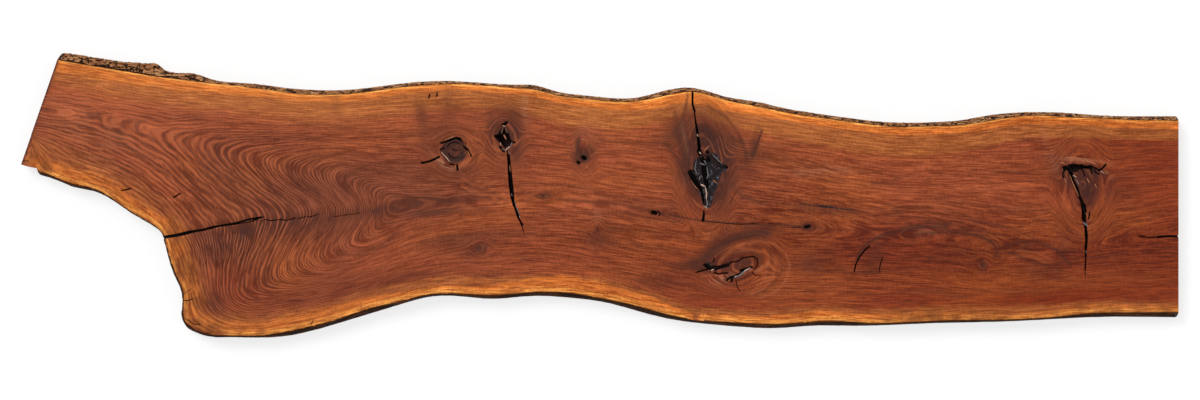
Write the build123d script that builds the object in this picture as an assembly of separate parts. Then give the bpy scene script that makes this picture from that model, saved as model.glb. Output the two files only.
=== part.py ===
# Live-edge plank: a slab sawn lengthwise through a forked trunk, left with its bark edge,
# its crotch, its knots and its drying checks. Units are millimetres.
# While the slab is drawn, +X runs along it from the fork to the square end, +Y points to the
# bark edge, and Y = 0 is the chalk line that it was measured from. Z = 0 is its underside.
import os

from build123d import *

LENGTH = 2440.0  # an eight-foot slab, from the tip of the fork's limb to the square end
THICKNESS = 50.0  # sawn two inches thick

# The natural edges. Each station is a point on the top arris, (along, across), and its wane:
# how far the round of the log stands out beyond that arris at the underside.
BARK_EDGE = [
    (-60, 319, 15), (77, 296, 16), (159, 282, 17), (207, 274, 18), (256, 266, 24), (279, 262, 25),
    (294, 260, 17), (359, 252, 16), (391, 248, 10), (487, 238, 9), (546, 230, 9), (591, 224, 11),
    (654, 223, 10), (719, 227, 10), (774, 235, 9), (837, 242, 9), (886, 245, 8), (968, 243, 6),
    (1046, 237, 8), (1080, 234, 10), (1126, 222, 9), (1191, 214, 8), (1252, 208, 8), (1295, 209, 8),
    (1358, 221, 11), (1417, 229, 9), (1484, 212, 8), (1550, 199, 10), (1615, 185, 9), (1678, 175, 9),
    (1750, 165, 9), (1853, 155, 9), (1937, 157, 9), (1982, 159, 10), (2045, 168, 12), (2078, 174, 10),
    (2142, 179, 8), (2213, 175, 10), (2277, 173, 7), (2342, 170, 8), (2440, 168, 10), (2530, 166, 10),
]
LOWER_EDGE = [
    (409, -287, 5), (464, -288, 4), (521, -286, 6), (561, -279, 9), (599, -271, 9), (664, -254, 8),
    (729, -232, 10), (799, -215, 6), (864, -200, 5), (928, -199, 6), (993, -202, 8), (1080, -196, 8),
    (1160, -198, 10), (1225, -209, 7), (1295, -224, 10), (1360, -242, 9), (1424, -254, 7),
    (1488, -259, 8), (1600, -263, 9), (1672, -258, 9), (1727, -257, 10), (1791, -261, 6),
    (1921, -257, 5), (2055, -254, 5), (2184, -248, 5), (2235, -242, 8), (2329, -239, 9),
    (2440, -238, 11), (2530, -237, 11),
]
LIMB_EDGE = [
    (37, 58, 6), (71, 47, 6), (106, 33, 6), (152, 23, 6), (179, 10, 5), (232, -26, 4), (286, -59, 4),
    (296, -69, 3), (300, -80, 2),
]
STUB_EDGE = [
    (300, -80, 2), (308, -106, 6), (328, -164, 7), (341, -196, 7), (340, -236, 7), (347, -261, 7),
    (369, -276, 7), (409, -287, 5),
]
# The torn corner under the limb's end, from beyond the saw cut to the start of the limb's edge
TORN_CORNER = [(-60, 92, 0), (13, 71, 0), (33, 67, 2), (37, 58, 6)]
# How much of the wane the edge has at each height, as the round of the log makes it
WANE_AT_HEIGHT = {0.0: 1.0, 0.5: 0.78, 1.0: 0.0}

# The limb's end is sawn on a slant, square to the faces, through these two points
LIMB_CUT_TOP = (77, 296)
LIMB_CUT_TIP = (0, 75)
SAW_REACH = 900.0  # larger than the slab's width, so that one cut clears the whole end

# The corner of the limb that split away a little below the face
CHIPPED_CORNER = [(-8, 76), (20, 145), (36, 61)]
CHIP_DEPTH = 3.0

# The split along the crotch opens from the fork's mouth, right through the slab.
# Each station of a crack is a point on its line and its width there.
CROTCH_SPLIT = [
    (285, -84, 9), (300, -80, 5), (308, -79, 4), (338, -74, 4), (369, -66, 3.6), (401, -60, 3),
    (415, -56, 2.6), (447, -52, 1.6), (482, -46, 2.4), (496, -41, 3.2), (514, -35, 1.4),
]
SPLIT_LEAN = 9.0  # how far the split drifts sideways on its way down, as the crotch's seam leans

# Drying checks, which close with depth, each with its depth below the face
CHECKS = {
    "seam beyond the crotch": (4, [(482, -47, 0.6), (513, -42, 1.2), (567, -42, 1.2), (620, -32, 1),
                                   (647, -27, 0.4)]),
    "check into the ringed knot": (9, [(842, 81, 0.4), (860, 80, 2.2), (871, 85, 2.2), (884, 92, 0.8)]),
    "check below the open knot": (34, [(1025, 108, 2), (1027, 78, 3.4), (1029, 53, 5.4), (1032, 25, 7),
                                       (1035, 6, 7), (1039, -11, 5), (1046, -24, 4.2), (1057, -58, 2.6),
                                       (1063, -79, 0.4)]),
    "check into the black knot": (30, [(1416, 225, 0.8), (1415, 207, 1.6), (1419, 192, 2.6),
                                       (1422, 167, 4.2), (1426, 143, 6.2), (1429, 120, 8), (1431, 101, 7)]),
    "heart check": (6, [(1436, -44, 0.6), (1457, -46, 2), (1503, -51, 2.4), (1523, -51, 2.4),
                        (1558, -48, 2), (1594, -50, 1.4), (1616, -51, 0.4)]),
    "heart check by the small knot": (6, [(1598, -56, 0.6), (1621, -58, 1.8), (1645, -58, 2)]),
    "curved check": (8, [(1817, -121, 2.6), (1812, -133, 3.6), (1809, -149, 3), (1808, -155, 1)]),
    "check below the broken knot": (32, [(2215, 60, 5), (2217, 46, 3.8), (2222, 35, 3.4), (2228, 20, 4.6),
                                         (2235, -4, 3.8), (2239, -22, 7), (2241, -38, 8.6),
                                         (2244, -50, 4.4), (2247, -76, 5.8), (2245, -112, 3.4),
                                         (2244, -149, 2), (2244, -163, 0.4)]),
}
# The square end's check runs out through the end face
END_CHECK = (12, [(2395, -78, 0.4), (2412, -78, 2.4), (2440, -76, 3.4), (2460, -75, 3.6)])
CHECK_FOOT_SHARE = 0.3  # a check's width at its foot, as a share of its width at the face

# Rot pockets and gaps in the knots: depth, share of the outline left at the foot, outline
POCKETS = {
    "open knot": (38, 0.5, [(994, 137), (1004, 139), (1011, 151), (1016, 156), (1024, 155), (1029, 144),
                            (1034, 128), (1040, 120), (1033, 114), (1028, 108), (1020, 108), (1012, 118),
                            (1004, 124)]),
    "gap over the ringed knot": (16, 0.5, [(886, 121), (905, 130), (919, 135), (930, 132), (936, 118),
                                           (927, 124), (917, 129), (904, 125)]),
    "gap beside the ringed knot": (14, 0.5, [(928, 118), (936, 114), (945, 108), (948, 92), (943, 101),
                                             (938, 105), (933, 110)]),
    "black knot core": (5, 0.8, [(1422, 92), (1433, 99), (1443, 104), (1452, 102), (1460, 94), (1477, 77),
                                 (1492, 71), (1484, 65), (1467, 50), (1455, 43), (1450, 30), (1453, 10),
                                 (1452, -12), (1446, -22), (1440, -18), (1436, 6), (1431, 22), (1423, 46),
                                 (1411, 60), (1416, 77)]),
    "black knot cleft": (24, 0.4, [(1426, 42), (1431, 38), (1437, 26), (1441, 10), (1443, -6), (1442, -17),
                                   (1437, -8), (1433, 12), (1429, 28)]),
    "black knot heart": (20, 0.4, [(1433, 80), (1437, 78), (1441, 62), (1442, 48), (1440, 38), (1436, 48),
                                   (1434, 64)]),
    "curled knot upper gap": (14, 0.4, [(1442, -134), (1452, -138), (1464, -139), (1476, -138),
                                        (1488, -135), (1503, -127), (1494, -136), (1480, -142),
                                        (1464, -145), (1452, -145)]),
    "curled knot lower gap": (16, 0.4, [(1484, -170), (1491, -162), (1503, -159), (1516, -152),
                                        (1526, -141), (1537, -139), (1545, -135), (1540, -144),
                                        (1528, -149), (1517, -158), (1505, -166), (1494, -169)]),
    "broken knot": (26, 0.5, [(2203, 75), (2212, 77), (2222, 78), (2232, 74), (2250, 72), (2270, 68),
                              (2262, 64), (2244, 66), (2232, 64), (2226, 58), (2219, 57), (2212, 62),
                              (2209, 70)]),
    "pit in the heart": (12, 0.5, [(1330, -27), (1335, -22), (1340, -26), (1336, -31)]),
}
TOOL_CLEARANCE = 5.0  # how far a cutting shape reaches above or below the faces


def unit_normal(before, after):
    """The unit normal on the right of the way from one point to another."""
    run = Vector(after[0] - before[0], after[1] - before[1])
    return Vector(run.Y, -run.X).normalized()


def natural_edge(stations, share, height):
    """A live edge at one height: each station pushed outward by its share of the wane."""
    last = len(stations) - 1
    points = []
    for index, (along, across, wane) in enumerate(stations):
        normal = unit_normal(stations[max(index - 1, 0)], stations[min(index + 1, last)])
        points.append(Vector(along, across, height) + normal * wane * share)
    return points


def slab_section(level, share):
    """The slab's closed outline at one level, anticlockwise from the square end's lower corner."""
    height = level * THICKNESS
    bark = natural_edge(BARK_EDGE[::-1], share, height)
    torn = natural_edge(TORN_CORNER, share, height)
    limb = natural_edge(LIMB_EDGE, share, height)
    stub = natural_edge(STUB_EDGE, share, height)
    lower = natural_edge(LOWER_EDGE, share, height)
    torn[-1] = limb[0]
    stub[0] = limb[-1]
    lower[0] = stub[-1]
    edges = [
        Line(lower[-1], bark[0]),
        Spline(*bark),
        Line(bark[-1], torn[0]),
        *[Line(start, end) for start, end in zip(torn, torn[1:])],
        Spline(*limb),
        Spline(*stub),
        Spline(*lower),
    ]
    return Face(Wire(edges))


def sawn_slab():
    """The slab with its natural edges, sawn square at one end and on a slant at the limb."""
    sections = [slab_section(level, share) for level, share in WANE_AT_HEIGHT.items()]
    slab = loft(sections)
    square_waste = Pos(LENGTH, 0, 0) * Box(
        SAW_REACH, SAW_REACH, SAW_REACH, align=(Align.MIN, Align.CENTER, Align.CENTER)
    )
    tip = Vector(*LIMB_CUT_TIP)
    cut_line = Vector(*LIMB_CUT_TOP) - tip
    saw_plane = Plane(origin=tip, x_dir=cut_line, z_dir=(0, 0, 1))
    slant_waste = saw_plane * Box(
        2 * SAW_REACH, SAW_REACH, SAW_REACH, align=(Align.CENTER, Align.MIN, Align.CENTER)
    )
    return slab - square_waste - slant_waste


def crack_outline(stations, share=1.0):
    """The lens-shaped outline of a crack along its stations, at a share of its width."""
    last = len(stations) - 1
    right = []
    left = []
    for index, (along, across, width) in enumerate(stations):
        normal = unit_normal(stations[max(index - 1, 0)], stations[min(index + 1, last)])
        offset = normal * width * share / 2
        right.append(Vector(along, across) + offset)
        left.append(Vector(along, across) - offset)
    return right + left[::-1]


def shrunk_outline(points, share):
    """An outline drawn in towards its own middle."""
    middle = sum((Vector(*point) for point in points), Vector()) / len(points)
    return [middle + (Vector(*point) - middle) * share for point in points]


def tapered_cut(outline, foot, depth):
    """A cutting shape that narrows from one outline above the face to another at its depth."""
    top = Face(Wire.make_polygon([point + Vector(0, 0, THICKNESS + TOOL_CLEARANCE) for point in outline]))
    base = Face(Wire.make_polygon([point + Vector(0, 0, THICKNESS - depth) for point in foot]))
    return loft([base, top], ruled=True)


def check_cut(depth, stations):
    """A drying check that closes with depth."""
    return tapered_cut(crack_outline(stations), crack_outline(stations, CHECK_FOOT_SHARE), depth)


def pocket_cut(depth, share, points):
    """A pocket in a knot, narrowing towards its foot."""
    return tapered_cut(shrunk_outline(points, 1.0), shrunk_outline(points, share), depth)


def crotch_split_cut():
    """The split of the crotch, with parallel sides, leaning right through the slab."""
    outline = Face(Wire.make_polygon(crack_outline(CROTCH_SPLIT)))
    down = Vector(0, -SPLIT_LEAN, -THICKNESS)
    overshoot = TOOL_CLEARANCE / THICKNESS
    raised = Pos(Vector(0, 0, THICKNESS) - down * overshoot) * outline
    return extrude(raised, amount=down.length * (1 + 2 * overshoot), dir=down.normalized())


def chipped_corner_cut():
    """The thin wedge missing from the top of the limb's corner."""
    corner = Face(Wire.make_polygon([Vector(*point, THICKNESS - CHIP_DEPTH) for point in CHIPPED_CORNER]))
    return extrude(corner, amount=CHIP_DEPTH + TOOL_CLEARANCE, dir=(0, 0, 1))


def live_edge_plank():
    """The whole plank, in its own frame: the middle of its underside is the origin."""
    plank = sawn_slab()
    plank -= crotch_split_cut()
    plank -= chipped_corner_cut()
    for depth, stations in [*CHECKS.values(), END_CHECK]:
        plank -= check_cut(depth, stations)
    for depth, share, points in POCKETS.values():
        plank -= pocket_cut(depth, share, points)
    box = plank.bounding_box()
    middle = box.center()
    return Pos(-middle.X, -middle.Y, -box.min.Z) * plank


def main():
    os.makedirs("parts", exist_ok=True)
    plank = live_edge_plank()
    size = plank.bounding_box().size
    print(f"plank {size.X:.1f} x {size.Y:.1f} x {size.Z:.1f} mm, {plank.volume / 1e6:.2f} litres")
    export_step(plank, "parts/live_edge_plank.step")


main()
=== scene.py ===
import math
import random
from collections import defaultdict, namedtuple

import bmesh
import bpy
import numpy as np
from bpy.props import FloatProperty, FloatVectorProperty, IntProperty, PointerProperty
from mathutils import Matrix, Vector, noise
from mathutils.bvhtree import BVHTree
from mathutils.geometry import delaunay_2d_cdt
from mathutils.kdtree import KDTree


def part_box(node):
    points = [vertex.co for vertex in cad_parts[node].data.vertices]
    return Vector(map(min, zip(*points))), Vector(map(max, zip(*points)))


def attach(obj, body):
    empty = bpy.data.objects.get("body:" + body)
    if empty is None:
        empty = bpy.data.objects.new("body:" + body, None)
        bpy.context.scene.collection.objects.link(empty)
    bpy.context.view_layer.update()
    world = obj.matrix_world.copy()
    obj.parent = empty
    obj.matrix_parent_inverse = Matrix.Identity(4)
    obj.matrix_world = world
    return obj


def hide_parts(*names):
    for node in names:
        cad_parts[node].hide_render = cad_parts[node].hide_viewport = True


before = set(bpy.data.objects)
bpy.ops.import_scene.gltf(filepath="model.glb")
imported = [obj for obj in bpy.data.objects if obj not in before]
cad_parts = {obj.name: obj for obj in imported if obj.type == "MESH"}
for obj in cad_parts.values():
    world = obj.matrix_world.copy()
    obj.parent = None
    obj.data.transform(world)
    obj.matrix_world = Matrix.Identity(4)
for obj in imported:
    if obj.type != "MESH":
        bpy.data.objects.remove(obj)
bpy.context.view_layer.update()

bl_info = {
    "name": "Live-edge plank",
    "version": (1, 0, 0),
    "blender": (4, 5, 0),
    "location": "3D View > Sidebar > Plank",
    "description": "Dresses a sawn live-edge slab with its grain, sapwood, knots, checks and bark",
    "category": "Add Mesh",
}

# The slab that everything is fitted to, and its box before anything is added
SLAB = "live_edge_plank"
BODY = "root"
SLAB_LOW, SLAB_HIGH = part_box(SLAB)
THICKNESS = SLAB_HIGH.z - SLAB_LOW.z
MM = 0.001
ON_LEVEL = 1e-5  # how close to the level of a sawn side counts as on it, in metres
FLAT = 0.999  # how much of a face's normal points straight up or down where it counts as level

# Places on the slab are read in millimetres: along it from the fork's tip, and across it from
# the chalk line, which lies this far below the outermost reach of the bark.
BARK_REACH = 311.4
TIP_X = SLAB_LOW.x
CHALK_Y = SLAB_HIGH.y - BARK_REACH * MM
BOARD_END = (SLAB_HIGH.x - TIP_X) / MM - 1.0

Growth = namedtuple("Growth", "along across age")
Knot = namedtuple("Knot", "along across length width turn halo rings dark")
Stain = namedtuple("Stain", "along across length width turn strength")
Stroke = namedtuple("Stroke", "width strength line")
Splinter = namedtuple("Splinter", "width tone line")


def records(kind, *rows):
    """Plain rows of values as records of one kind."""
    return [kind(*row) for row in rows]


def lines(kind, *rows):
    """Rows of a width, a strength or tone, and the points of a line, as records of one kind."""
    return [kind(width, look, points) for width, look, *points in rows]


# The heart lines of the trunk and its two limbs, with how old the wood is that the saw met there:
# 1 is the trunk's pith, and less is younger wood, where the pith lies deeper below the face.
TRUNK_HEART = records(
    Growth,
    (2540, -76, 1.0), (2440, -78, 0.99), (2300, -92, 0.93), (2200, -112, 0.88), (2140, -112, 0.93),
    (2085, -112, 0.87), (2020, -100, 0.95), (1960, -84, 0.89), (1890, -72, 0.96), (1810, -82, 0.9),
    (1700, -64, 0.96), (1640, -56, 1.0), (1460, -46, 1.0), (1335, -27, 1.0), (1100, 6, 1.0), (960, 0, 1.0),
    (850, -12, 1.0), (790, -14, 1.0),
)
LIMB_HEART = records(
    Growth,
    (790, -14, 1.0), (730, 30, 0.93), (675, 60, 0.84), (624, 70, 0.77), (575, 80, 0.7), (483, 97, 0.59),
    (397, 122, 0.49), (338, 130, 0.43), (290, 150, 0.385), (243, 168, 0.39), (176, 178, 0.365),
    (60, 190, 0.39), (-60, 194, 0.39),
)
STUB_HEART = records(
    Growth,
    (790, -14, 1.0), (745, -80, 0.94), (669, -122, 0.85), (587, -150, 0.68), (546, -175, 0.6),
    (517, -194, 0.52), (466, -204, 0.45), (433, -206, 0.38),
)
# The seam between the limb and the stub, where the younger wood of both meets
FORK_SEAM = records(
    Growth,
    (340, -70, 0.14), (410, -56, 0.24), (456, -48, 0.3), (509, -36, 0.38), (563, -32, 0.46),
    (603, -28, 0.53), (652, -23, 0.61), (694, -19, 0.69), (745, -16, 0.83), (790, -14, 1.0),
)
HEART_DEPTH = 13.0  # how far below the face the heart lines lie, in millimetres
TRUNK_RADIUS = 215.0  # pith to bark, in millimetres
# Past this far from the pith the rings that show are wider: this many for each one further in
WIDE_RINGS, WIDE_SHARE = 100.0, 0.5
# The slanted saw cut that ends the limb, and the slopes at which its edges ran on beyond it
LIMB_CUT = ((0, 75), (77, 296))
LIMB_SLOPES = (-0.4, -0.12)

# The grid on which the ages are worked out: its corners and its steps, each half the last, in
# millimetres, how often each cell takes its neighbours' mean at each step, and how often once
# more without the heart lines held, which rounds the rings' hairpins
GRID_LOW, GRID_HIGH = np.array((-60.0, -300.0)), np.array((2520.0, 320.0))
GRID_STEPS = (20, 10, 5)
SETTLING_TURNS, ROUNDING_TURNS = 420, 36
SPLIT_CLOSED = 12  # gaps up to twice this wide across are taken as grown together, in millimetres

# Boxes on the slab, each low and high along it, then low and high across it. These parts of the
# outline are not natural edges:
SPLIT_MOUTH = (306, 660, -84, -20)
CHECK_MOUTHS = ((2380, math.inf, -88, -64), (1404, 1436, -math.inf, 222))
TORN_CORNER = (-math.inf, 46, 64, math.inf)
# and these hold the walls of the split, and the floor of the chip out of the limb's face.
SPLIT_WALLS = (304, 530, -96, -30)
THIN_CHIP = (-math.inf, 42, 50, 150)
CUT_BAND = 1.5  # points this close to the limb's cut belong to it, in millimetres
# The bark's edge lies further across than the first of these, and at the limb further than a
# slanted line, which is given by its start and its slope
BARK_SIDE, LIMB_SIDE, LIMB_SIDE_SLOPE = 140, 296, -0.5

# The branch stubs: middle, half length, half width and lean of each, how many times its own size
# the grain swirls round it, how clearly its own rings show, and how dark it is
KNOTS = {
    "ringed": Knot(914, 104, 31, 29, -20, 2.6, 0.25, 1.0),
    "open": Knot(1018, 132, 22, 32, 0, 2.6, 0.2, 0.4),
    "blind": Knot(1187, 96, 12, 27, 6, 2.6, 0.3, 0.4),
    "black": Knot(1440, 78, 36, 84, 3, 2.2, 0.1, 0.5),
    "curled": Knot(1518, -134, 50, 34, 24, 2.3, 0.2, 0.1),
    "broken": Knot(2238, 30, 38, 66, 4, 2.1, 0.1, 0.2),
    "small": Knot(1658, -56, 13, 8, 0, 2.8, 0.3, 1.0),
    "lower": Knot(966, -101, 13, 11, 0, 3.2, 1.0, 0.6),
    "pin": Knot(1215, -63, 6, 10, 0, 3.5, 0.5, 0.6),
    "eye": Knot(1101, 8, 12, 5, 0, 3.0, 0.5, 0.6),
    "pit": Knot(1335, -27, 5, 4, 0, 3.5, 0.5, 0.8),
    "hook": Knot(2027, -136, 8, 9, 0, 3.5, 0.5, 0.8),
}
LOOP_SHARE, LOOP_SLOPE = 0.8, 0.5  # how fully the rings close round a knot, and how tightly

# Sapwood and the olive band inside it, as (along, width) in millimetres from each natural edge
UPPER_SAPWOOD = [
    (60, 25), (300, 20), (600, 15), (800, 16), (900, 12), (1150, 16), (1300, 19), (1430, 26), (1600, 17),
    (2000, 18), (2200, 17), (2440, 18),
]
UPPER_OLIVE = [
    (60, 44), (300, 52), (600, 60), (820, 56), (1000, 48), (1150, 60), (1270, 60), (1400, 46), (1560, 54),
    (1750, 60), (1900, 62), (2090, 50), (2250, 42), (2440, 42),
]
LOWER_SAPWOOD = [
    (0, 28), (150, 30), (300, 26), (330, 40), (420, 34), (520, 30), (620, 34), (720, 26), (850, 17),
    (950, 18), (1050, 28), (1150, 37), (1250, 31), (1320, 27), (1420, 16), (1520, 17), (1700, 22),
    (1760, 20), (1900, 24), (2050, 12), (2150, 13), (2240, 18), (2440, 17),
]
LOWER_OLIVE = [
    (0, 70), (150, 66), (300, 48), (330, 58), (420, 50), (520, 44), (720, 40), (1050, 37), (1250, 40),
    (1420, 30), (1700, 30), (1900, 34), (2440, 22),
]

# How sharply each band ends, and how far the sapwood has greyed, as (along, value)
UPPER_CRISPNESS = [(60, 0.9), (900, 1.3), (1180, 4.0), (2440, 4.0)]
LOWER_CRISPNESS = [
    (0, 0.9), (620, 1.2), (800, 3.5), (1500, 3.5), (1700, 2.0), (2440, 1.6),
]
UPPER_DULLNESS = [
    (60, 0.3), (300, 0.25), (600, 0.35), (950, 0.1), (2440, 0.1),
]
LOWER_DULLNESS = [
    (0, 0.95), (45, 0.7), (110, 0.35), (300, 0.3), (330, 0.85), (420, 0.75), (520, 0.45), (640, 0.3),
    (900, 0.16), (1500, 0.14), (1780, 0.15), (1870, 0.85), (1980, 0.85), (2080, 0.5), (2440, 0.6),
]

# The bark's thickness along the slab, as (along, share of the thickest), and the size of its flakes
BARK_SHARE = [
    (60, 0.9), (280, 1.0), (296, 0.62), (370, 0.6), (400, 0.44), (700, 0.42), (1600, 0.46), (1650, 0.55),
    (1680, 0.4), (1870, 0.55), (1900, 0.42), (2440, 0.45),
]
FLAKE_LENGTH, FLAKE_HEIGHT = 17.0, 11.0  # in millimetres
FLAKE_SHIFTS = (9.3, -1.5, -7.9)  # where the three noises that bend the flakes are taken from
BARK_BACK = 1.2 * MM  # how far the strip's hidden back lies inside the slab's side

# How clearly the figure shows in straight wood, how much more at the fork, and where it fades
FIGURE_PLAIN, FIGURE_FORK, FIGURE_FADE = 0.12, 0.5, (1000, 620)
BARK_RIM_SHARE = 2.2  # how many times narrower the rim's dark line, partly painted edge shade, is on the bark's side
STAIN_DEPTHS = (14, 3)  # between these depths below the face the stains come in, in millimetres
STAIN_BELOW = 0.35  # how much of the dark stains is left below them

# Dark patches in the wood
DARK_STAINS = records(
    Stain,
    (490, -58, 84, 22, 8, 0.5), (478, -80, 18, 46, -16, 0.5), (640, -38, 140, 17, 6, 0.5),
    (430, -88, 60, 40, 10, 0.35), (408, -214, 30, 26, 30, 0.45), (760, -22, 90, 12, 5, 0.5),
    (900, -1, 60, 7, 3, 0.7), (855, -30, 46, 8, 4, 0.5), (905, -22, 50, 7, 6, 0.45),
    (1030, 178, 26, 22, 20, 0.5), (1001, 150, 14, 20, 0, 0.35), (1040, 110, 22, 34, -10, 0.35),
    (900, 208, 14, 34, 4, 0.3), (900, 130, 62, 52, 0, 0.38), (1022, 150, 44, 50, 0, 0.4),
    (1186, 96, 34, 40, 0, 0.15), (1176, 108, 6, 24, 6, 0.75), (1198, 98, 12, 18, -30, 0.7),
    (1176, 84, 8, 10, 0, 0.7), (1445, 125, 46, 60, 4, 0.9), (1466, 16, 28, 50, 0, 0.85),
    (1043, 152, 13, 26, -10, 0.65), (1043, 96, 12, 18, 0, 0.5), (990, 140, 9, 45, 0, 0.35),
    (1470, 60, 30, 30, 0, 0.6), (2234, 46, 30, 26, 0, 0.6), (2216, 64, 24, 9, 0, 0.8),
    (2272, 60, 18, 12, 0, 0.6), (2244, 20, 13, 26, 0, 0.8), (2252, 56, 22, 10, -10, 0.6),
    (2204, 48, 12, 26, 0, 0.5), (1405, 110, 16, 50, -10, 0.5), (1478, -104, 36, 12, 38, 0.6),
    (1548, -70, 60, 14, 8, 0.45), (1440, -136, 30, 8, 6, 0.75), (1500, -122, 40, 12, 20, 0.35),
    (918, 60, 40, 16, 0, 0.35), (1400, 150, 30, 40, -30, 0.4), (1500, 120, 40, 22, -38, 0.4),
    (1530, 70, 46, 26, -30, 0.32), (1402, 60, 26, 30, 0, 0.6), (1484, 52, 34, 40, 0, 0.6),
    (1380, 140, 30, 34, 0, 0.45), (1470, 110, 34, 34, 0, 0.5), (1420, 24, 24, 34, 0, 0.6),
    (1420, -134, 44, 12, 10, 0.6), (1350, -165, 70, 22, -8, 0.28), (1460, -90, 52, 9, 44, 0.5),
    (1560, -62, 60, 9, 12, 0.4), (1660, -56, 26, 13, 0, 0.6), (1662, -137, 26, 18, -20, 0.45),
    (1690, -118, 40, 30, 10, 0.2), (1700, -20, 110, 15, -4, 0.38), (1528, -132, 30, 12, 12, 0.65),
    (1486, -142, 40, 12, 8, 0.6), (1440, -140, 40, 16, 0, 0.5), (1512, -160, 26, 14, 20, 0.45),
    (830, -8, 70, 26, 4, 0.35), (1000, 128, 15, 34, 0, 0.5), (1043, 120, 13, 34, 0, 0.4),
    (1188, 90, 9, 10, 0, 0.95), (1179, 108, 5, 22, 6, 0.7), (960, -100, 34, 22, 20, 0.5),
    (905, -92, 46, 22, 0, 0.35), (1214, -80, 26, 22, 0, 0.42), (1240, -62, 22, 34, 20, 0.25),
    (1104, 8, 24, 6, 0, 0.55), (1345, -26, 22, 6, -6, 0.4), (1800, -120, 18, 34, -22, 0.4),
    (2028, -138, 10, 14, 10, 0.6), (2145, -150, 46, 14, -10, 0.3), (2186, 66, 26, 34, -24, 0.4),
    (2252, 18, 15, 30, 10, 0.62), (2300, 20, 60, 24, -26, 0.25), (2200, -100, 24, 40, 0, 0.25),
    (1545, 118, 9, 40, -14, 0.55), (1560, 96, 22, 12, 0, 0.4), (845, 178, 14, 40, 10, 0.45),
    (840, 2, 40, 7, 3, 0.45), (1170, 90, 9, 16, 20, 0.6), (666, 215, 14, 50, 4, 0.2),
    (180, 130, 90, 30, -20, 0.12), (420, 40, 80, 40, -40, 0.2), (690, -190, 160, 26, 12, 0.2),
)
# Warm, oranger patches
WARM_STAINS = records(
    Stain,
    (180, 236, 120, 26, -6, 0.5), (330, 222, 120, 18, -6, 0.4), (1572, -150, 46, 50, 0, 0.6),
    (1500, -92, 80, 26, 20, 0.3), (1010, -30, 90, 24, 16, 0.5), (1110, 2, 46, 12, 0, 0.6),
    (1550, 90, 130, 20, -6, 0.25), (1800, 100, 200, 12, -6, 0.4), (1180, -160, 220, 20, 4, 0.4),
    (610, 214, 120, 20, 4, 0.35), (900, -60, 120, 26, 20, 0.4), (560, -150, 70, 40, 50, 0.5),
    (2100, -170, 260, 26, 0, 0.55), (2300, -40, 80, 30, 0, 0.3), (1260, 40, 160, 26, 4, 0.35),
    (355, 75, 30, 22, -45, 0.6),
)
# The brown wood of the crotch, and the redder wood of the square end
CROTCH_STAINS = records(
    Stain,
    (620, 25, 190, 70, 4, 0.9), (560, -75, 160, 45, 8, 0.85), (460, 36, 110, 60, -30, 0.7),
    (830, 40, 130, 60, 0, 0.5), (430, -92, 90, 50, 8, 0.85), (540, -170, 110, 50, 16, 0.65),
)
RED_STAINS = records(
    Stain,
    (520, -200, 130, 50, 14, 0.5), (430, -170, 60, 40, 30, 0.4), (1574, -105, 60, 50, 0, 0.7),
    (2350, 120, 210, 120, 0, 0.6), (2350, -20, 220, 120, 0, 0.3), (2120, -205, 420, 50, 2, 0.95),
    (1950, -120, 640, 80, 0, 0.65), (1500, -130, 110, 60, 0, 0.5), (2420, -60, 70, 160, 0, 0.4),
    (1480, -210, 180, 26, -4, 0.5), (690, -200, 150, 30, 12, 0.3),
)
# Where the figure shows most
FIGURE_STAINS = records(
    Stain,
    (860, -4, 80, 20, 0, -0.15), (190, 150, 170, 60, -12, 0.3), (430, -88, 80, 45, 8, 0.3),
    (560, -185, 130, 50, 10, 0.25), (560, 40, 160, 60, 0, 0.1), (960, 40, 120, 90, 0, 0.4),
    (1020, 120, 60, 80, 0, 0.25), (1110, 10, 90, 50, 0, 0.2), (1560, -140, 100, 70, 0, 0.5),
    (2240, 30, 90, 110, 0, 0.25), (1187, 96, 40, 70, 0, 0.3), (966, -101, 60, 50, 0, 0.3),
    (1460, 60, 120, 110, 0, 0.4),
)
# Where its lines run twice as close
CLOSE_STAINS = records(
    Stain,
    (410, -90, 80, 50, 8, 1.0), (460, -70, 80, 34, 8, 1.0), (90, 184, 140, 26, -4, 1.0),
)
# Broad light and dark parts: strength is how much brighter, or darker below nought
SHADES = records(
    Stain,
    (1950, -112, 640, 74, 0, -0.31), (1600, -5, 150, 40, 0, -0.28), (2180, 5, 260, 32, 0, 0.12),
    (2430, 0, 50, 60, 0, 0.14), (420, 125, 150, 24, 0, -0.08), (1150, -75, 220, 45, 0, -0.14),
    (1260, -190, 60, 25, 0, -0.15), (560, -70, 120, 32, 0, -0.2), (340, -10, 110, 34, 0, -0.12),
    (650, 115, 200, 32, 0, -0.12), (620, 182, 520, 28, -2, 0.14), (950, 235, 130, 22, 0, 0.2),
    (1590, 170, 120, 36, 0, 0.25), (1350, 208, 70, 18, 6, 0.3), (1510, 200, 70, 16, -12, 0.3),
    (180, 205, 200, 60, -8, 0.3), (300, 240, 160, 36, -4, 0.16), (560, 225, 160, 40, -4, 0.32),
    (2300, 20, 120, 120, 0, -0.12), (900, 60, 90, 60, 0, -0.1), (960, 30, 60, 50, 0, -0.15),
    (2430, -60, 40, 110, 0, -0.1), (2120, 190, 330, 26, 0, -0.08), (1100, 150, 200, 60, 0, -0.05),
    (1574, -108, 54, 44, 0, -0.15), (520, 40, 120, 56, -10, -0.14), (415, -105, 74, 50, 0, -0.28),
    (2238, 20, 60, 80, 0, -0.14), (536, -168, 90, 46, 10, -0.12), (1230, 125, 110, 50, 0, 0.1),
    (1200, 188, 90, 20, -6, 0.2), (1220, -16, 120, 30, 0, 0.12),
)
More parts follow.
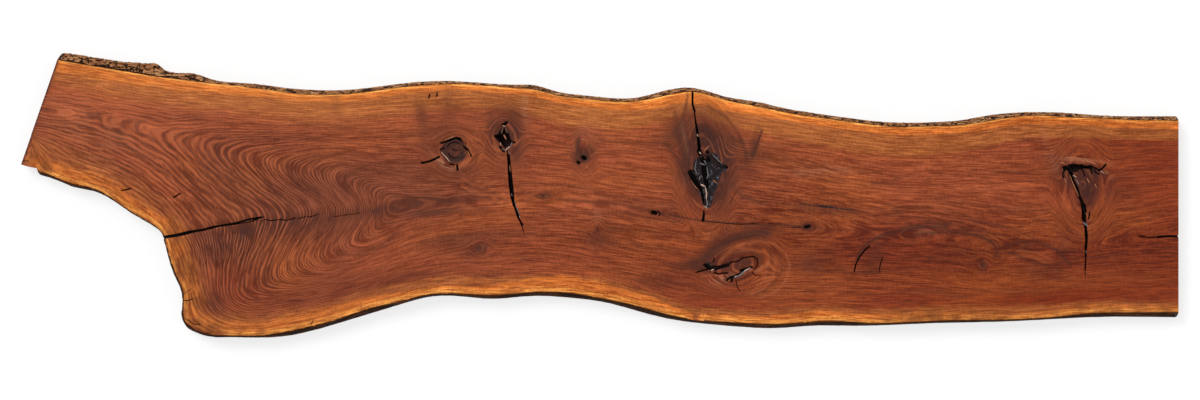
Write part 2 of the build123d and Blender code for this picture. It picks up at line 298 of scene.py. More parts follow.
# Places where the wood reads paler and browner
PALE_STAINS = records(
    Stain,
    (150, 150, 130, 50, -14, 0.08), (892, 76, 20, 5, -34, 0.8), (1062, 196, 6, 30, 4, 0.4),
    (2158, 138, 5, 46, 2, 0.15), (2176, 84, 9, 28, 20, 0.15), (2236, 84, 44, 5, -4, 0.35),
    (1400, 128, 5, 40, 14, 0.15), (1216, -36, 10, 12, 0, 0.25), (1192, 140, 26, 30, 0, 0.15),
    (1905, -66, 30, 9, 6, 0.12), (1480, -168, 26, 10, 10, 0.5), (2290, 52, 14, 6, -20, 0.3),
    (1690, 60, 60, 8, 4, 0.35),
)
# Black, glassy pitch
PITCH_STAINS = records(
    Stain,
    (1427, 72, 10, 19, 0, 1.0), (1450, 70, 20, 26, 0, 1.0), (1459, 90, 12, 10, -30, 0.9),
    (1446, 10, 13, 34, 4, 0.95), (1478, 70, 14, 9, -20, 0.9), (1440, 40, 16, 22, 0, 0.9),
    (1464, 60, 15, 17, -20, 1.0), (1458, 34, 12, 18, 0, 0.9), (1426, 44, 9, 20, 8, 1.0),
    (1102, 9, 7, 2.8, 0, 0.8), (1697, -14, 30, 2.4, -6, 0.9), (1745, -20, 24, 1.9, -5, 0.8),
    (1450, -136, 18, 5, 0, 0.8), (1500, -156, 40, 7, 34, 0.55), (1536, -132, 12, 8, 20, 0.5),
)
# Soft dark lines in the figure, and one line of painted shade along the limb's sawn end
STROKES = lines(
    Stroke,
    (3.5, 0.7, (1176, 126), (1174, 98)), (3.0, 0.6, (1197, 116), (1193, 100)),
    (1.8, 0.85, (1642, -8), (1680, -13), (1720, -17), (1762, -22)),
    (3.4, 0.8, (1764, -124), (1768, -112), (1778, -98), (1792, -86), (1811, -77)),
    (4.6, 0.72, (1811, -77), (1834, -69), (1860, -63), (1908, -56), (1952, -58)),
    (1.8, 0.65, (1811, -72), (1860, -57), (1908, -49), (1958, -51)),
    (4.2, 0.6, (1880, -74), (1930, -68), (1976, -67), (2025, -77), (2050, -92), (2059, -106), (2054, -121)),
    (1.6, 0.45, (1976, -61), (2028, -70), (2056, -87), (2067, -104), (2062, -124)),
    (3.4, 0.62, (2068, -102), (2110, -88), (2155, -92), (2190, -110), (2212, -138)),
    (3.0, 0.45, (2076, -108), (2130, -128), (2190, -146)),
    # The line from (2, 77) to (78, 294) is painted shade along the edge of the limb's saw cut
    (3.0, 0.35, (2000, -40), (2090, -60), (2200, -112)), (2.8, 0.95, (2, 77), (78, 294)),
    (1.2, 0.4, (715, -27), (800, -14)), (2.8, 0.9, (1562, 146), (1552, 116), (1543, 92)),
    (3.0, 0.5, (1406, 222), (1402, 190)), (1.8, 0.95, (1340, -27), (1400, -38), (1436, -44)),
    (3.0, 0.5, (1130, 2), (1190, -3), (1260, -8), (1325, -23)),
    (1.4, 0.4, (1671, -58), (1700, -62), (1900, -66)),
    (1.8, 0.75, (1086, 8), (1096, 13), (1106, 14), (1118, 9)), (1.6, 0.6, (1088, 5), (1100, 2), (1114, 5)),
    (1.8, 0.85, (1440, -44), (1500, -49), (1560, -52), (1600, -52), (1648, -57)),
    (4.0, 0.5, (1435, 176), (1457, 148), (1474, 118), (1487, 88)),
    (4.0, 0.5, (1448, 200), (1487, 174), (1513, 140), (1526, 105), (1530, 80)),
    (5.0, 0.5, (1379, 157), (1390, 118), (1404, 70)), (5.0, 0.4, (1362, 120), (1384, 84), (1398, 40)),
    (3.0, 0.5, (1404, 214), (1398, 180), (1384, 150)), (4.0, 0.45, (1494, 40), (1520, 10), (1560, -8)),
    (8.0, 0.9, (1439, -130), (1455, -112), (1470, -98), (1486, -87), (1504, -79), (1539, -73), (1572, -70)),
    (3.0, 0.35, (1490, -116), (1530, -97), (1568, -98), (1600, -118), (1604, -150), (1580, -184),
     (1548, -200)),
    (2.4, 0.45, (1378, 186), (1388, 150), (1402, 110), (1410, 80)),
    (2.0, 0.4, (948, -112), (960, -116), (974, -112), (980, -100), (1000, -84)),
    (2.5, 0.4, (938, 38), (952, 27), (972, 22), (995, 28)),
    (2.5, 0.35, (932, 22), (950, 11), (975, 7), (999, 12)),
)
# Pale lines in it
LIGHT_STROKES = lines(
    Stroke,
    (2.0, 0.4, (1431, 200), (1448, 174), (1478, 140), (1500, 105), (1513, 75)),
    (2.0, 0.4, (1435, 213), (1470, 192), (1508, 157), (1530, 122), (1539, 92)),
    (2.0, 0.35, (1408, 160), (1412, 126), (1420, 104)), (1.8, 0.4, (1392, 150), (1402, 110), (1414, 76)),
    (2.0, 0.4, (1500, 30), (1528, 6), (1570, -14)), (2.0, 0.35, (1490, 20), (1514, -4), (1556, -26)),
    (2.5, 0.55, (932, 46), (947, 34), (968, 30), (993, 36)),
    (2.5, 0.5, (930, 30), (947, 19), (972, 15), (997, 21)), (2.0, 0.4, (926, 60), (936, 52)),
    (2.2, 0.35, (935, 12), (955, 3), (980, 0)),
    (3.0, 0.5, (1478, -122), (1499, -101), (1526, -91), (1558, -86), (1590, -93), (1611, -110),
     (1621, -137), (1613, -169), (1590, -194), (1558, -206)),
    (3.0, 0.5, (1505, -110), (1537, -105), (1569, -110), (1590, -131), (1585, -164), (1562, -190),
     (1537, -198)),
    (3.0, 0.45, (1575, -131), (1567, -169), (1548, -185)),
    (2.5, 0.6, (1436, -160), (1456, -158), (1480, -160)), (2.0, 0.5, (1470, 186), (1520, 170), (1550, 160)),
    (3.0, 0.5, (2196, 88), (2230, 86), (2270, 82), (2300, 74)),
    (2.5, 0.4, (2100, -108), (2140, -110), (2168, -124)),
    (2.5, 0.4, (2090, -120), (2130, -118), (2160, -132)),
)
# Cracks pressed into the face, with painted shade inside them: they are painted black
CRACKS = lines(
    Stroke,
    (2.2, 0.9, (886, 120), (900, 124), (915, 130)), (2.2, 0.95, (846, 78), (863, 82), (882, 91)),
    (2.0, 0.95, (920, 74), (920, 65)), (1.3, 0.7, (899, 112), (905, 119), (914, 122), (924, 120)),
    (1.3, 0.6, (902, 98), (906, 91), (914, 88), (924, 91)), (1.2, 0.6, (910, 108), (916, 103), (924, 106)),
    (2.0, 0.8, (884, 106), (892, 110)), (2.2, 0.9, (940, 108), (949, 93)), (1.8, 0.8, (905, 76), (914, 74)),
    (3.0, 1.0, (1016, 158), (1024, 163)), (2.2, 0.9, (1035, 124), (1041, 121)),
    (2.5, 0.9, (1010, 112), (1018, 103)), (3.0, 1.0, (1028, 93), (1030, 72), (1033, 51)),
    (2.6, 1.0, (1033, 51), (1036, 26), (1038, 2)),
    (1.9, 1.0, (1038, 2), (1041, -14), (1047, -33), (1056, -51)), (4.2, 1.0, (1185, 90), (1189, 88)),
    (3.2, 0.9, (1174, 80), (1177, 78)),
    (1.6, 0.9, (1757, -150), (1760, -136), (1768, -120), (1779, -106), (1790, -96)),
    (3.0, 0.95, (1654, -57), (1662, -55)), (4.4, 1.0, (1332, -26), (1338, -27)),
    (1.4, 0.7, (1344, -23), (1348, -29), (1345, -33)), (2.2, 0.9, (1416, 228), (1416, 202), (1421, 185)),
    (5.0, 1.0, (1430, 104), (1436, 88), (1441, 70), (1443, 50), (1446, 32)),
    (3.0, 0.9, (1458, 96), (1468, 82), (1474, 72), (1488, 69)), (3.5, 1.0, (1447, 102), (1450, 80)),
    (6.0, 1.0, (1412, 58), (1420, 42), (1430, 26)), (2.5, 0.8, (1440, -28), (1439, -44)),
    (3.6, 1.0, (1444, -138), (1452, -143), (1462, -145), (1476, -141), (1490, -137)),
    (1.6, 0.75, (1490, -137), (1498, -131), (1512, -129), (1522, -122), (1534, -120), (1546, -119)),
    (1.5, 0.7, (1546, -119), (1553, -126), (1554, -134), (1551, -141), (1544, -146)),
    (2.2, 0.9, (1516, -149), (1524, -146), (1530, -146), (1542, -141)),
    (1.8, 0.8, (1462, -153), (1470, -156), (1480, -154), (1490, -154)),
    (2.4, 0.9, (1488, -169), (1495, -163), (1500, -162), (1498, -171)),
    (1.4, 0.6, (1541, -152), (1549, -159), (1560, -158)),
    (1.3, 0.55, (1508, -170), (1510, -184), (1516, -192)),
    (1.8, 0.8, (1426, -152), (1436, -149), (1447, -146)), (1.4, 0.7, (1462, -122), (1460, -132)),
    (4.6, 1.0, (2200, 68), (2212, 66), (2220, 70)),
    (2.8, 1.0, (2220, 70), (2236, 73), (2244, 69), (2256, 71)),
    (2.0, 0.9, (2256, 71), (2266, 67), (2273, 62), (2280, 67), (2287, 75)),
    (1.8, 0.8, (2199, 62), (2196, 55), (2198, 48)), (1.6, 0.8, (2262, 66), (2266, 58), (2274, 54)),
    (1.4, 0.7, (2232, 68), (2240, 60), (2243, 50)),
    (3.2, 1.0, (2210, 62), (2216, 52), (2218, 40), (2226, 26), (2231, 8), (2238, -6)),
    (1.6, 0.8, (2253, -26), (2251, -40)), (5.0, 1.0, (2240, -12), (2242, -24), (2241, -38)),
    (2.0, 0.7, (2256, 66), (2258, 56)), (3.2, 1.0, (304, -78), (330, -74), (357, -67)),
    (2.4, 1.0, (357, -67), (384, -63), (410, -56)),
    (1.9, 1.0, (410, -56), (456, -48), (480, -41), (509, -36)),
    (1.1, 0.75, (514, -41), (529, -44), (546, -41), (561, -43), (577, -38)),
    (1.0, 0.6, (586, -40), (598, -35), (611, -36), (628, -29)),
    (1.0, 0.5, (662, -35), (683, -32), (700, -30), (715, -27)),
    (1.2, 0.6, (342, -212), (352, -212), (362, -209)), (1.1, 0.5, (346, -197), (352, -192), (359, -187)),
    (1.2, 0.6, (348, -250), (356, -256), (366, -262), (378, -262)),
    (1.2, 0.6, (348, -260), (360, -268), (370, -279)), (1.1, 0.5, (380, -282), (401, -279)),
    (1.2, 0.6, (611, -263), (616, -255)), (1.4, 0.8, (4, 84), (16, 84), (28, 90)),
    (1.6, 0.8, (213, 20), (232, 24)), (1.6, 0.8, (322, 5), (336, 14)), (2.0, 0.7, (862, 222), (860, 214)),
    (2.0, 0.7, (878, 224), (876, 218)), (1.4, 0.8, (1440, -22), (1436, -44)),
    (1.4, 0.8, (2360, -76), (2376, -79), (2396, -78)), (2.2, 1.0, (2396, -78), (2420, -76), (2439, -77)),
    (2.6, 1.0, (2240, -40), (2245, -62), (2246, -82)), (1.8, 1.0, (2246, -82), (2244, -100), (2245, -121)),
    (1.1, 0.8, (2245, -121), (2243, -140), (2244, -160)),
)
# Splinters and torn fibres that stand in the knots and checks; some pale and grey ones stand for painted
# glints on the knots
SPLINTERS = lines(
    Splinter,
    (3.0, "pale", (886, 101), (892, 95), (901, 86)), (2.5, "pale", (894, 93), (905, 80)),
    (3.0, "tan", (915, 74), (917, 65)), (3.0, "tan", (926, 74), (924, 65)),
    (3.0, "tan", (941, 103), (947, 93)), (2.5, "tan", (938, 118), (943, 112)),
    (3.0, "tan", (893, 127), (905, 131), (914, 134)), (4.5, "brown", (1017, 156), (1013, 140)),
    (4.5, "brown", (1021, 154), (1026, 141)), (3.5, "tan", (1018, 138), (1023, 128)),
    (3.0, "pale", (1015, 157), (1021, 155)), (3.0, "pale", (1010, 121), (1012, 115)),
    (3.0, "grey", (1014, 108), (1023, 104)), (3.5, "pale", (1022, 105), (1031, 113)),
    (3.0, "grey", (1032, 113), (1036, 122)), (2.5, "tan", (1020, 98), (1022, 90)),
    (3.0, "grey", (1027, 104), (1032, 98)), (2.6, "grey", (1040, -1), (1046, -17), (1051, -32)),
    (2.2, "grey", (1034, 14), (1036, 8)), (2.2, "pale", (1051, -33), (1053, -38)),
    (2.0, "tan", (1030, 74), (1032, 60)), (3.0, "pale", (1425, 139), (1428, 134)),
    (4.0, "pale", (1430, 101), (1434, 97)), (3.0, "tan", (1440, 104), (1446, 110), (1451, 116)),
    (3.5, "grey", (1432, 78), (1442, 74)), (3.0, "grey", (1440, 84), (1445, 76)),
    (3.0, "grey", (1424, 86), (1421, 66), (1426, 52)), (3.0, "grey", (1446, 70), (1449, 52), (1446, 44)),
    (4.0, "pale", (1433, 33), (1442, 29)), (3.5, "pale", (1443, 28), (1446, 14), (1445, 2)),
    (3.5, "grey", (1445, 2), (1448, -8), (1444, -16)), (3.0, "pale", (1439, -12), (1447, -18)),
    (4.0, "tan", (1459, 42), (1467, 36)), (3.0, "grey", (1432, 50), (1430, 42)),
    (3.5, "grey", (1456, 98), (1462, 92), (1470, 84), (1478, 76)),
    (2.5, "tan", (1412, 42), (1420, 30), (1430, 20)),
    (4.0, "grey", (1503, -164), (1516, -158), (1527, -150), (1539, -143)),
    (3.5, "pale", (1505, -162), (1512, -160)), (3.0, "pale", (1524, -150), (1537, -143)),
    (3.5, "pale", (1455, -149), (1461, -146)), (3.0, "tan", (1545, -152), (1556, -146), (1562, -136)),
    (3.0, "tan", (1464, -157), (1470, -160)), (5.0, "tan", (2191, 79), (2200, 77)),
    (4.0, "tan", (2199, 88), (2216, 90), (2240, 86)), (4.0, "tan", (2246, 82), (2266, 76)),
    (4.0, "pale", (2218, 52), (2224, 49)), (4.0, "grey", (2224, 45), (2231, 32)),
    (3.0, "tan", (2211, 52), (2219, 32), (2230, 7)), (4.0, "tan", (2247, 46), (2253, 36)),
    (4.0, "tan", (2264, 34), (2267, 26)), (3.0, "pale", (2276, 61), (2283, 57)),
    (3.0, "tan", (2200, 46), (2203, 34)), (3.0, "tan", (2245, -27), (2249, -36)),
    (4.0, "grey", (2239, -46), (2246, -54)), (3.0, "grey", (2246, -48), (2250, -58)),
    (2.5, "tan", (2252, -65), (2253, -70)), (2.0, "grey", (2245, -107), (2246, -112)),
    (2.0, "tan", (2244, -150), (2245, -153)),
)
BEDS = [Stroke(0.8 * splinter.width, 1.0, splinter.line) for splinter in SPLINTERS]


def place(along, across):
    """A point of the slab's face, in the frame's metres, from millimetres along and across it."""
    return TIP_X + along * MM, CHALK_Y + across * MM


def slab_mm(points):
    """Points of the frame as millimetres along the slab, across it and below its face."""
    along = (points[:, 0] - TIP_X) / MM
    across = (points[:, 1] - CHALK_Y) / MM
    depth = (SLAB_HIGH.z - points[:, 2]) / MM
    return along, across, depth


def smooth_step(low, high, value):
    """A smooth rise from 0 to 1 as the value runs from low to high, or a fall where high is the lower."""
    share = np.clip((value - low) / (high - low), 0.0, 1.0)
    return share * share * (3.0 - 2.0 * share)


def size(name, description, default):
    """A length property."""
    return FloatProperty(name=name, description=description, default=default, unit="LENGTH")


def rows_of_mesh(name, description, default, fewest):
    """A property that counts rows of mesh."""
    return IntProperty(name=name, description=description, default=default, min=fewest)


class PlankSizes(bpy.types.PropertyGroup):
    """Sizes of the plank's finish."""

    face_step: size("Face step", "Spacing of the face's mesh", 7 * MM)
    figure_step: size("Figure step", "Mesh spacing over the crotch figure", 5 * MM)
    knot_step: size("Knot step", "Mesh spacing over the knots", 2.3 * MM)
    back_step: size("Back step", "Mesh spacing of the underside", 12 * MM)
    edge_step: size("Edge step", "Mesh spacing along the edges", 5.5 * MM)
    edge_levels: rows_of_mesh("Edge levels", "Rows of mesh up the edges", 7, 2)
    crack_depth: size("Crack depth", "Depth of the fine cracks in the face", 2.5 * MM)
    bed_depth: size("Bed depth", "How far the face is torn away round a splinter", 1.7 * MM)
    torn_depth: size("Torn depth", "How far the knots are torn below the face", 1.2 * MM)
    splinter_height: size("Splinter height", "Height of a splinter's ridge", 3.5 * MM)
    ridge_depth: size("Ridge depth", "Depth of the ridges on the stripped edges", 1.8 * MM)
    growth_ring: size("Growth ring", "Width of one growth ring", 2.3 * MM)
    bark_thickness: size("Bark thickness", "Thickest bark, at the limb's end", 7 * MM)
    bark_sink: size("Bark sink", "How far the bark sits into the slab's outline", 2.2 * MM)
    bark_step: size("Bark step", "Mesh spacing of the bark", 2 * MM)
    bark_rows: rows_of_mesh("Bark rows", "Rows of mesh up the bark", 20, 4)
    floor_reach: size("Floor reach", "Width of the floor", 240.0)
    camera_height: size("Camera height", "Height of the camera above the face", 7.025)


def tint(name, description, colour):
    """A colour property with three channels."""
    return FloatVectorProperty(name=name, description=description, subtype="COLOR", size=3, default=colour)


class PlankColours(bpy.types.PropertyGroup):
    """Colours of the plank's wood and bark."""

    heart: tint("Heartwood", "Plain oiled heartwood", (0.3, 0.06, 0.018))
    heart_dark: tint("Dark heartwood", "The darker streaks of the heartwood", (0.12, 0.026, 0.01))
    heart_warm: tint("Warm heartwood", "The oranger streaks of the heartwood", (0.43, 0.1, 0.016))
    crotch: tint("Crotch wood", "The browner wood where the trunk forks", (0.155, 0.037, 0.017))
    heart_red: tint("Red heartwood", "The redder heartwood of the square end", (0.195, 0.018, 0.0))
    line: tint("Figure line", "The pale lines of the crotch figure", (0.42, 0.104, 0.036))
    line_dark: tint("Figure gap", "The dark lines between them", (0.09, 0.024, 0.013))
    sapwood: tint("Sapwood", "Oiled sapwood", (0.7, 0.175, 0.027))
    sapwood_gold: tint("Golden sapwood", "The youngest wood, just under the bark", (0.98, 0.4, 0.08))
    sapwood_deep: tint("Deep sapwood", "The darker streaks of the sapwood", (0.52, 0.12, 0.012))
    sapwood_dull: tint("Dull sapwood", "Sapwood where it has greyed", (0.29, 0.08, 0.015))
    olive: tint("Olive band", "The band between sapwood and heartwood", (0.385, 0.108, 0.022))
    stain: tint("Stain", "Dark wood round the knots", (0.038, 0.011, 0.008))
    pitch: tint("Pitch", "Glassy black pitch", (0.008, 0.008, 0.011))
    # Painted sheen: blue-grey reflections painted into the pitch's colour
    painted_pitch_sheen: tint("Pitch sheen", "Blue-grey lights on the pitch", (0.09, 0.09, 0.1))
    pale: tint("Pale fibre", "Bare fibres by the knots", (0.5, 0.23, 0.13))
    # Painted shade: the black inside the fine cracks and knot holes
    painted_crack_shade: tint("Crack", "The insides of the fine cracks", (0.004, 0.003, 0.003))
    # Partly painted glints: some pale splinters stand for bright glints on the black knot
    splinter_pale: tint("Pale splinters", "Bare splinters", (0.62, 0.4, 0.3))
    splinter_tan: tint("Tan splinters", "Oiled splinters", (0.45, 0.17, 0.07))
    # Partly painted glints: some grey splinters stand for purple-grey glints along the open knot's crack
    splinter_grey: tint("Grey splinters", "Weathered splinters", (0.19, 0.165, 0.165))
    splinter_brown: tint("Brown splinters", "Splinters deep in a knot", (0.15, 0.07, 0.04))
    split: tint("Split wood", "The walls of checks and pockets", (0.02, 0.009, 0.007))
    # Partly the dark cambium line, partly painted shade of the sloping natural edges seen from above
    rim: tint("Rim", "The dark line along the natural edges", (0.022, 0.007, 0.003))
    inner_bark: tint("Inner bark", "The stripped natural edges", (0.014, 0.005, 0.003))
    inner_bark_warm: tint("Warm inner bark", "The warm ridges of the stripped edges", (0.13, 0.042, 0.016))
    end_grain: tint("End grain", "The sawn ends", (0.15, 0.048, 0.02))
    bark: tint("Bark", "Brown bark", (0.24, 0.088, 0.032))
    bark_worn: tint("Worn bark", "Worn faces of the bark's flakes", (0.52, 0.25, 0.11))
    bark_dark: tint("Bark fissures", "The gaps between the bark's flakes", (0.02, 0.008, 0.004))
    floor: tint("Floor", "The plain pale floor", (0.82, 0.82, 0.82))


# The slab's mesh


def on_sawn_side(height):
    """Whether a height is that of the slab's face or of its underside."""
    return height > SLAB_HIGH.z - ON_LEVEL or height < SLAB_LOW.z + ON_LEVEL


def slab_walls(step, levels):
    """The slab's edges, ends, cuts and pockets, without its two faces, sliced to a fine mesh."""
    weld, snap, across_share = 1e-6, 2e-4, 1.6
    walls = bmesh.new()
    walls.from_mesh(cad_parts[SLAB].data)
    bmesh.ops.remove_doubles(walls, verts=walls.verts[:], dist=weld)
    faces = [
        face for face in walls.faces
        if abs(face.normal.z) > FLAT and on_sawn_side(face.calc_center_median().z)
    ]
    bmesh.ops.delete(walls, geom=faces, context="FACES")
    slices = [(0, at) for at in np.arange(SLAB_LOW.x + step, SLAB_HIGH.x, step)]
    slices += [(1, at) for at in np.arange(SLAB_LOW.y + step, SLAB_HIGH.y, across_share * step)]
    slices += [(2, SLAB_LOW.z + THICKNESS * level / levels) for level in range(1, levels)]
    for axis, at in slices:
        normal = Vector((0, 0, 0))
        normal[axis] = 1.0
        bmesh.ops.bisect_plane(
            walls, geom=walls.verts[:] + walls.edges[:] + walls.faces[:], dist=snap,
            plane_co=normal * at, plane_no=normal,
        )
    return walls


def rim_at(walls, level):
    """The corner points and edges where the walls meet one of the slab's faces."""
    edges = [
        edge for edge in walls.edges
        if edge.is_boundary and all(abs(corner.co.z - level) < ON_LEVEL for corner in edge.verts)
    ]
    numbers = {corner: number for number, corner in
               enumerate(dict.fromkeys(corner for edge in edges for corner in edge.verts))}
    points = np.array([corner.co[:2] for corner in numbers])
    pairs = np.array([[numbers[corner] for corner in edge.verts] for edge in edges])
    return points, pairs


def inside_rim(points, rim, pairs):
    """Which points lie inside the rim and outside its holes, by counting crossings."""
    start, end = rim[pairs[:, 0]], rim[pairs[:, 1]]
    inside = np.zeros(len(points), bool)
    chunk = 2000
    for first in range(0, len(points), chunk):
        x, y = points[first:first + chunk].T[:, :, None]
        spans = (start[:, 1] <= y) != (end[:, 1] <= y)
        rise = np.where(end[:, 1] == start[:, 1], 1.0, end[:, 1] - start[:, 1])
        crossing = start[:, 0] + (y - start[:, 1]) / rise * (end[:, 0] - start[:, 0])
        inside[first:first + chunk] = np.sum(spans & (crossing > x), axis=1) % 2 == 1
    return inside


def outer_loop(rim, pairs):
    """The rim's outer loop of edges, without the pockets and checks inside it."""
    neighbours = defaultdict(list)
    for first, second in pairs:
        neighbours[first].append(second)
        neighbours[second].append(first)
    start = int(np.argmin(rim[:, 0]))
    reached, waiting = {start}, [start]
    while waiting:
        for number in neighbours[waiting.pop()]:
            if number not in reached:
                reached.add(number)
                waiting.append(number)
    return np.array([pair for pair in pairs if pair[0] in reached])


def staggered_grid(low, high, step):
    """Points in rows, each row half a step along from the last."""
    row_gap = 0.87
    rows = []
    for number, y in enumerate(np.arange(low[1], high[1], step * row_gap)):
        xs = np.arange(low[0] + step / 2 * (number % 2), high[0], step)
        rows.append(np.column_stack((xs, np.full(len(xs), y))))
    return np.concatenate(rows)


def tree_of(points):
    """A search tree of flat points."""
    tree = KDTree(len(points))
    for number, point in enumerate(points):
        tree.insert((point[0], point[1], 0.0), number)
    tree.balance()
    return tree


def clear_of(targets, points, gaps):
    """Which points are further from every target than their own gap."""
    tree = tree_of(targets)
    return np.array([tree.find((*point, 0))[2] > gap for point, gap in zip(points, gaps)])


def stroke_points(stroke, step):
    """Points along a thin line and close on each side of it."""
    offsets = (-1.4, 0, 1.4)
    points = []
    for start, end in zip(stroke.line, stroke.line[1:]):
        run = np.array(place(*end)) - np.array(place(*start))
        length = np.linalg.norm(run)
        side = np.array((-run[1], run[0])) / length
        for share in np.arange(0, 1, step / length):
            middle = np.array(place(*start)) + run * share
            points += [middle + side * offset * stroke.width * MM for offset in offsets]
    return np.array(points)


def face_points(sizes, rim, pairs, back):
    """Where the inner corners of a face's mesh go: closer over the crotch, the knots and the strokes."""
    crotch_end = place(900, 0)[0]
    knot_margin, line_gap, rim_gap = 9, 0.6, 0.45
    low, high = rim.min(0), rim.max(0)
    if back:
        points = staggered_grid(low, high, sizes.back_step)
        gap = np.full(len(points), sizes.back_step)
    else:
        coarse = staggered_grid((crotch_end, low[1]), high, sizes.face_step)
        medium = staggered_grid(low, (crotch_end, high[1]), sizes.figure_step)
        points = np.concatenate((coarse, medium))
        gap = np.repeat([sizes.face_step, sizes.figure_step], [len(coarse), len(medium)])
        for knot in KNOTS.values():
            centre = np.array(place(knot.along, knot.across))
            reach = (max(knot.length, knot.width) + knot_margin) * MM
            keep = np.linalg.norm(points - centre, axis=1) > reach
            disc = staggered_grid(centre - reach, centre + reach, sizes.knot_step)
            disc = disc[np.linalg.norm(disc - centre, axis=1) < reach - sizes.knot_step / 2]
            points = np.concatenate((points[keep], disc))
            gap = np.concatenate((gap[keep], np.full(len(disc), sizes.knot_step)))
        strokes = STROKES + LIGHT_STROKES + CRACKS + BEDS
        closer = np.concatenate([stroke_points(stroke, sizes.knot_step) for stroke in strokes])
        keep = clear_of(closer, points, line_gap * gap)
        points = np.concatenate((points[keep], closer))
        gap = np.concatenate((gap[keep], np.full(len(closer), sizes.knot_step)))
    points = points[clear_of(rim, points, rim_gap * gap)]
    return points[inside_rim(points, rim, pairs)]


def add_face(walls, sizes, level, back):
    """Fills one sawn face of the slab with an even mesh that meets the walls corner to corner."""
    weld = 1e-7
    rim, pairs = rim_at(walls, level)
    points = np.concatenate((rim, face_points(sizes, rim, pairs, back)))
    corners, _, triangles, *_ = delaunay_2d_cdt(
        [Vector(point) for point in points], pairs.tolist(), [], 0, weld
    )
    corners = np.array(corners)
    triangles = np.array(triangles)
    triangles = triangles[inside_rim(corners[triangles].mean(axis=1), rim, pairs)]
    made = {number: walls.verts.new((*corners[number], level)) for number in np.unique(triangles)}
    for triangle in triangles:
        face = walls.faces.new([made[number] for number in triangle])
        face.normal_update()
        if (face.normal.z < 0) != back:
            face.normal_flip()
    return rim, pairs


# The growth rings


def fixed_ages(step, shape):
    """Grid cells on the heart lines and the fork's seam, and the age of the wood there."""
    cells = {}
    for heart in (TRUNK_HEART, LIMB_HEART, STUB_HEART, FORK_SEAM):
        for start, end in zip(heart, heart[1:]):
            length = math.hypot(end.along - start.along, end.across - start.across)
            for share in np.arange(0, 1, step / 3 / length):
                along, across, age = (a + (b - a) * share for a, b in zip(start, end))
                column = round((along - GRID_LOW[0]) / step)
                row = round((across - GRID_LOW[1]) / step)
                if 0 <= column < shape[0] and 0 <= row < shape[1]:
                    cells[column, row] = age
    columns, rows = np.array(list(cells)).T
    return columns, rows, np.array(list(cells.values()))


def past_limb_cut(along, across):
    """How far places lie inside the limb's slanted cut, along the slab, in millimetres."""
    (tip_x, tip_y), (top_x, top_y) = LIMB_CUT
    return along - (tip_x + (across - tip_y) / (top_y - tip_y) * (top_x - tip_x))


def in_box(box, along, across):
    """Whether places lie in a box of low and high along, and low and high across."""
    return (along > box[0]) & (along < box[1]) & (across > box[2]) & (across < box[3])


def wood_mask(step, shape, rim, pairs):
    """Which grid cells are wood, with the limb run on past its saw cut and the crotch's split closed."""
    along = GRID_LOW[0] + step * np.arange(shape[0])[:, None] + np.zeros(shape)
    across = GRID_LOW[1] + step * np.arange(shape[1])[None, :] + np.zeros(shape)
    flat = np.column_stack(place(np.clip(along.ravel(), 0, BOARD_END), across.ravel()))
    wood = inside_rim(flat, rim, pairs).reshape(shape)
    (tip_x, tip_y), (top_x, top_y) = LIMB_CUT
    under = tip_y + LIMB_SLOPES[0] * (along - tip_x)
    over = top_y + LIMB_SLOPES[1] * (along - top_x)
    wood |= (past_limb_cut(along, across) < step) & (across > under) & (across < over)
    reach = max(1, round(SPLIT_CLOSED / step))
    padded = np.pad(wood, ((0, 0), (reach, reach)), mode="edge")
    above, below = (
        np.any([padded[:, reach + way * k:reach + way * k + shape[1]] for k in range(1, reach + 1)], axis=0)
        for way in (1, -1)
    )
    return wood | (above & below)


def evened(ages, wood):
    """Each cell's age as the mean of its four neighbours', and nought outside the wood."""
    padded = np.pad(ages, 1, mode="edge")
    ages = (padded[:-2, 1:-1] + padded[2:, 1:-1] + padded[1:-1, :-2] + padded[1:-1, 2:]) / 4
    ages[~wood] = 0.0
    return ages


def solve_ages(rim, pairs):
    """How old the wood is over the face, from 0 at the natural edges to 1 at the pith, on a grid."""
    ages = None
    for step in GRID_STEPS:
        shape = tuple(((GRID_HIGH - GRID_LOW) / step).astype(int) + 1)
        wood = wood_mask(step, shape, rim, pairs)
        columns, rows, values = fixed_ages(step, shape)
        if ages is None:
            ages = np.zeros(shape)
        else:
            ages = np.repeat(np.repeat(ages, 2, axis=0), 2, axis=1)[:shape[0], :shape[1]]
        for _ in range(SETTLING_TURNS):
            ages = evened(ages, wood)
            ages[columns, rows] = values
    for _ in range(ROUNDING_TURNS):
        ages = evened(ages, wood)
    return ages


def look_up(values, along, across):
    """The grid's value at each place, blended from the four cells round it."""
    step, inside = GRID_STEPS[-1], 1.001
    column = np.clip((along - GRID_LOW[0]) / step, 0, values.shape[0] - inside)
    row = np.clip((across - GRID_LOW[1]) / step, 0, values.shape[1] - inside)
    left, under = column.astype(int), row.astype(int)
    a, b = column - left, row - under
    lower = values[left, under] * (1 - a) + values[left + 1, under] * a
    upper = values[left, under + 1] * (1 - a) + values[left + 1, under + 1] * a
    return lower * (1 - b) + upper * b


def turned(spot, along, across):
    """Places as seen from a spot, in its own length and width."""
    lean = math.radians(spot.turn)
    x, y = along - spot.along, across - spot.across
    return ((x * math.cos(lean) + y * math.sin(lean)) / spot.length,
            (y * math.cos(lean) - x * math.sin(lean)) / spot.width)


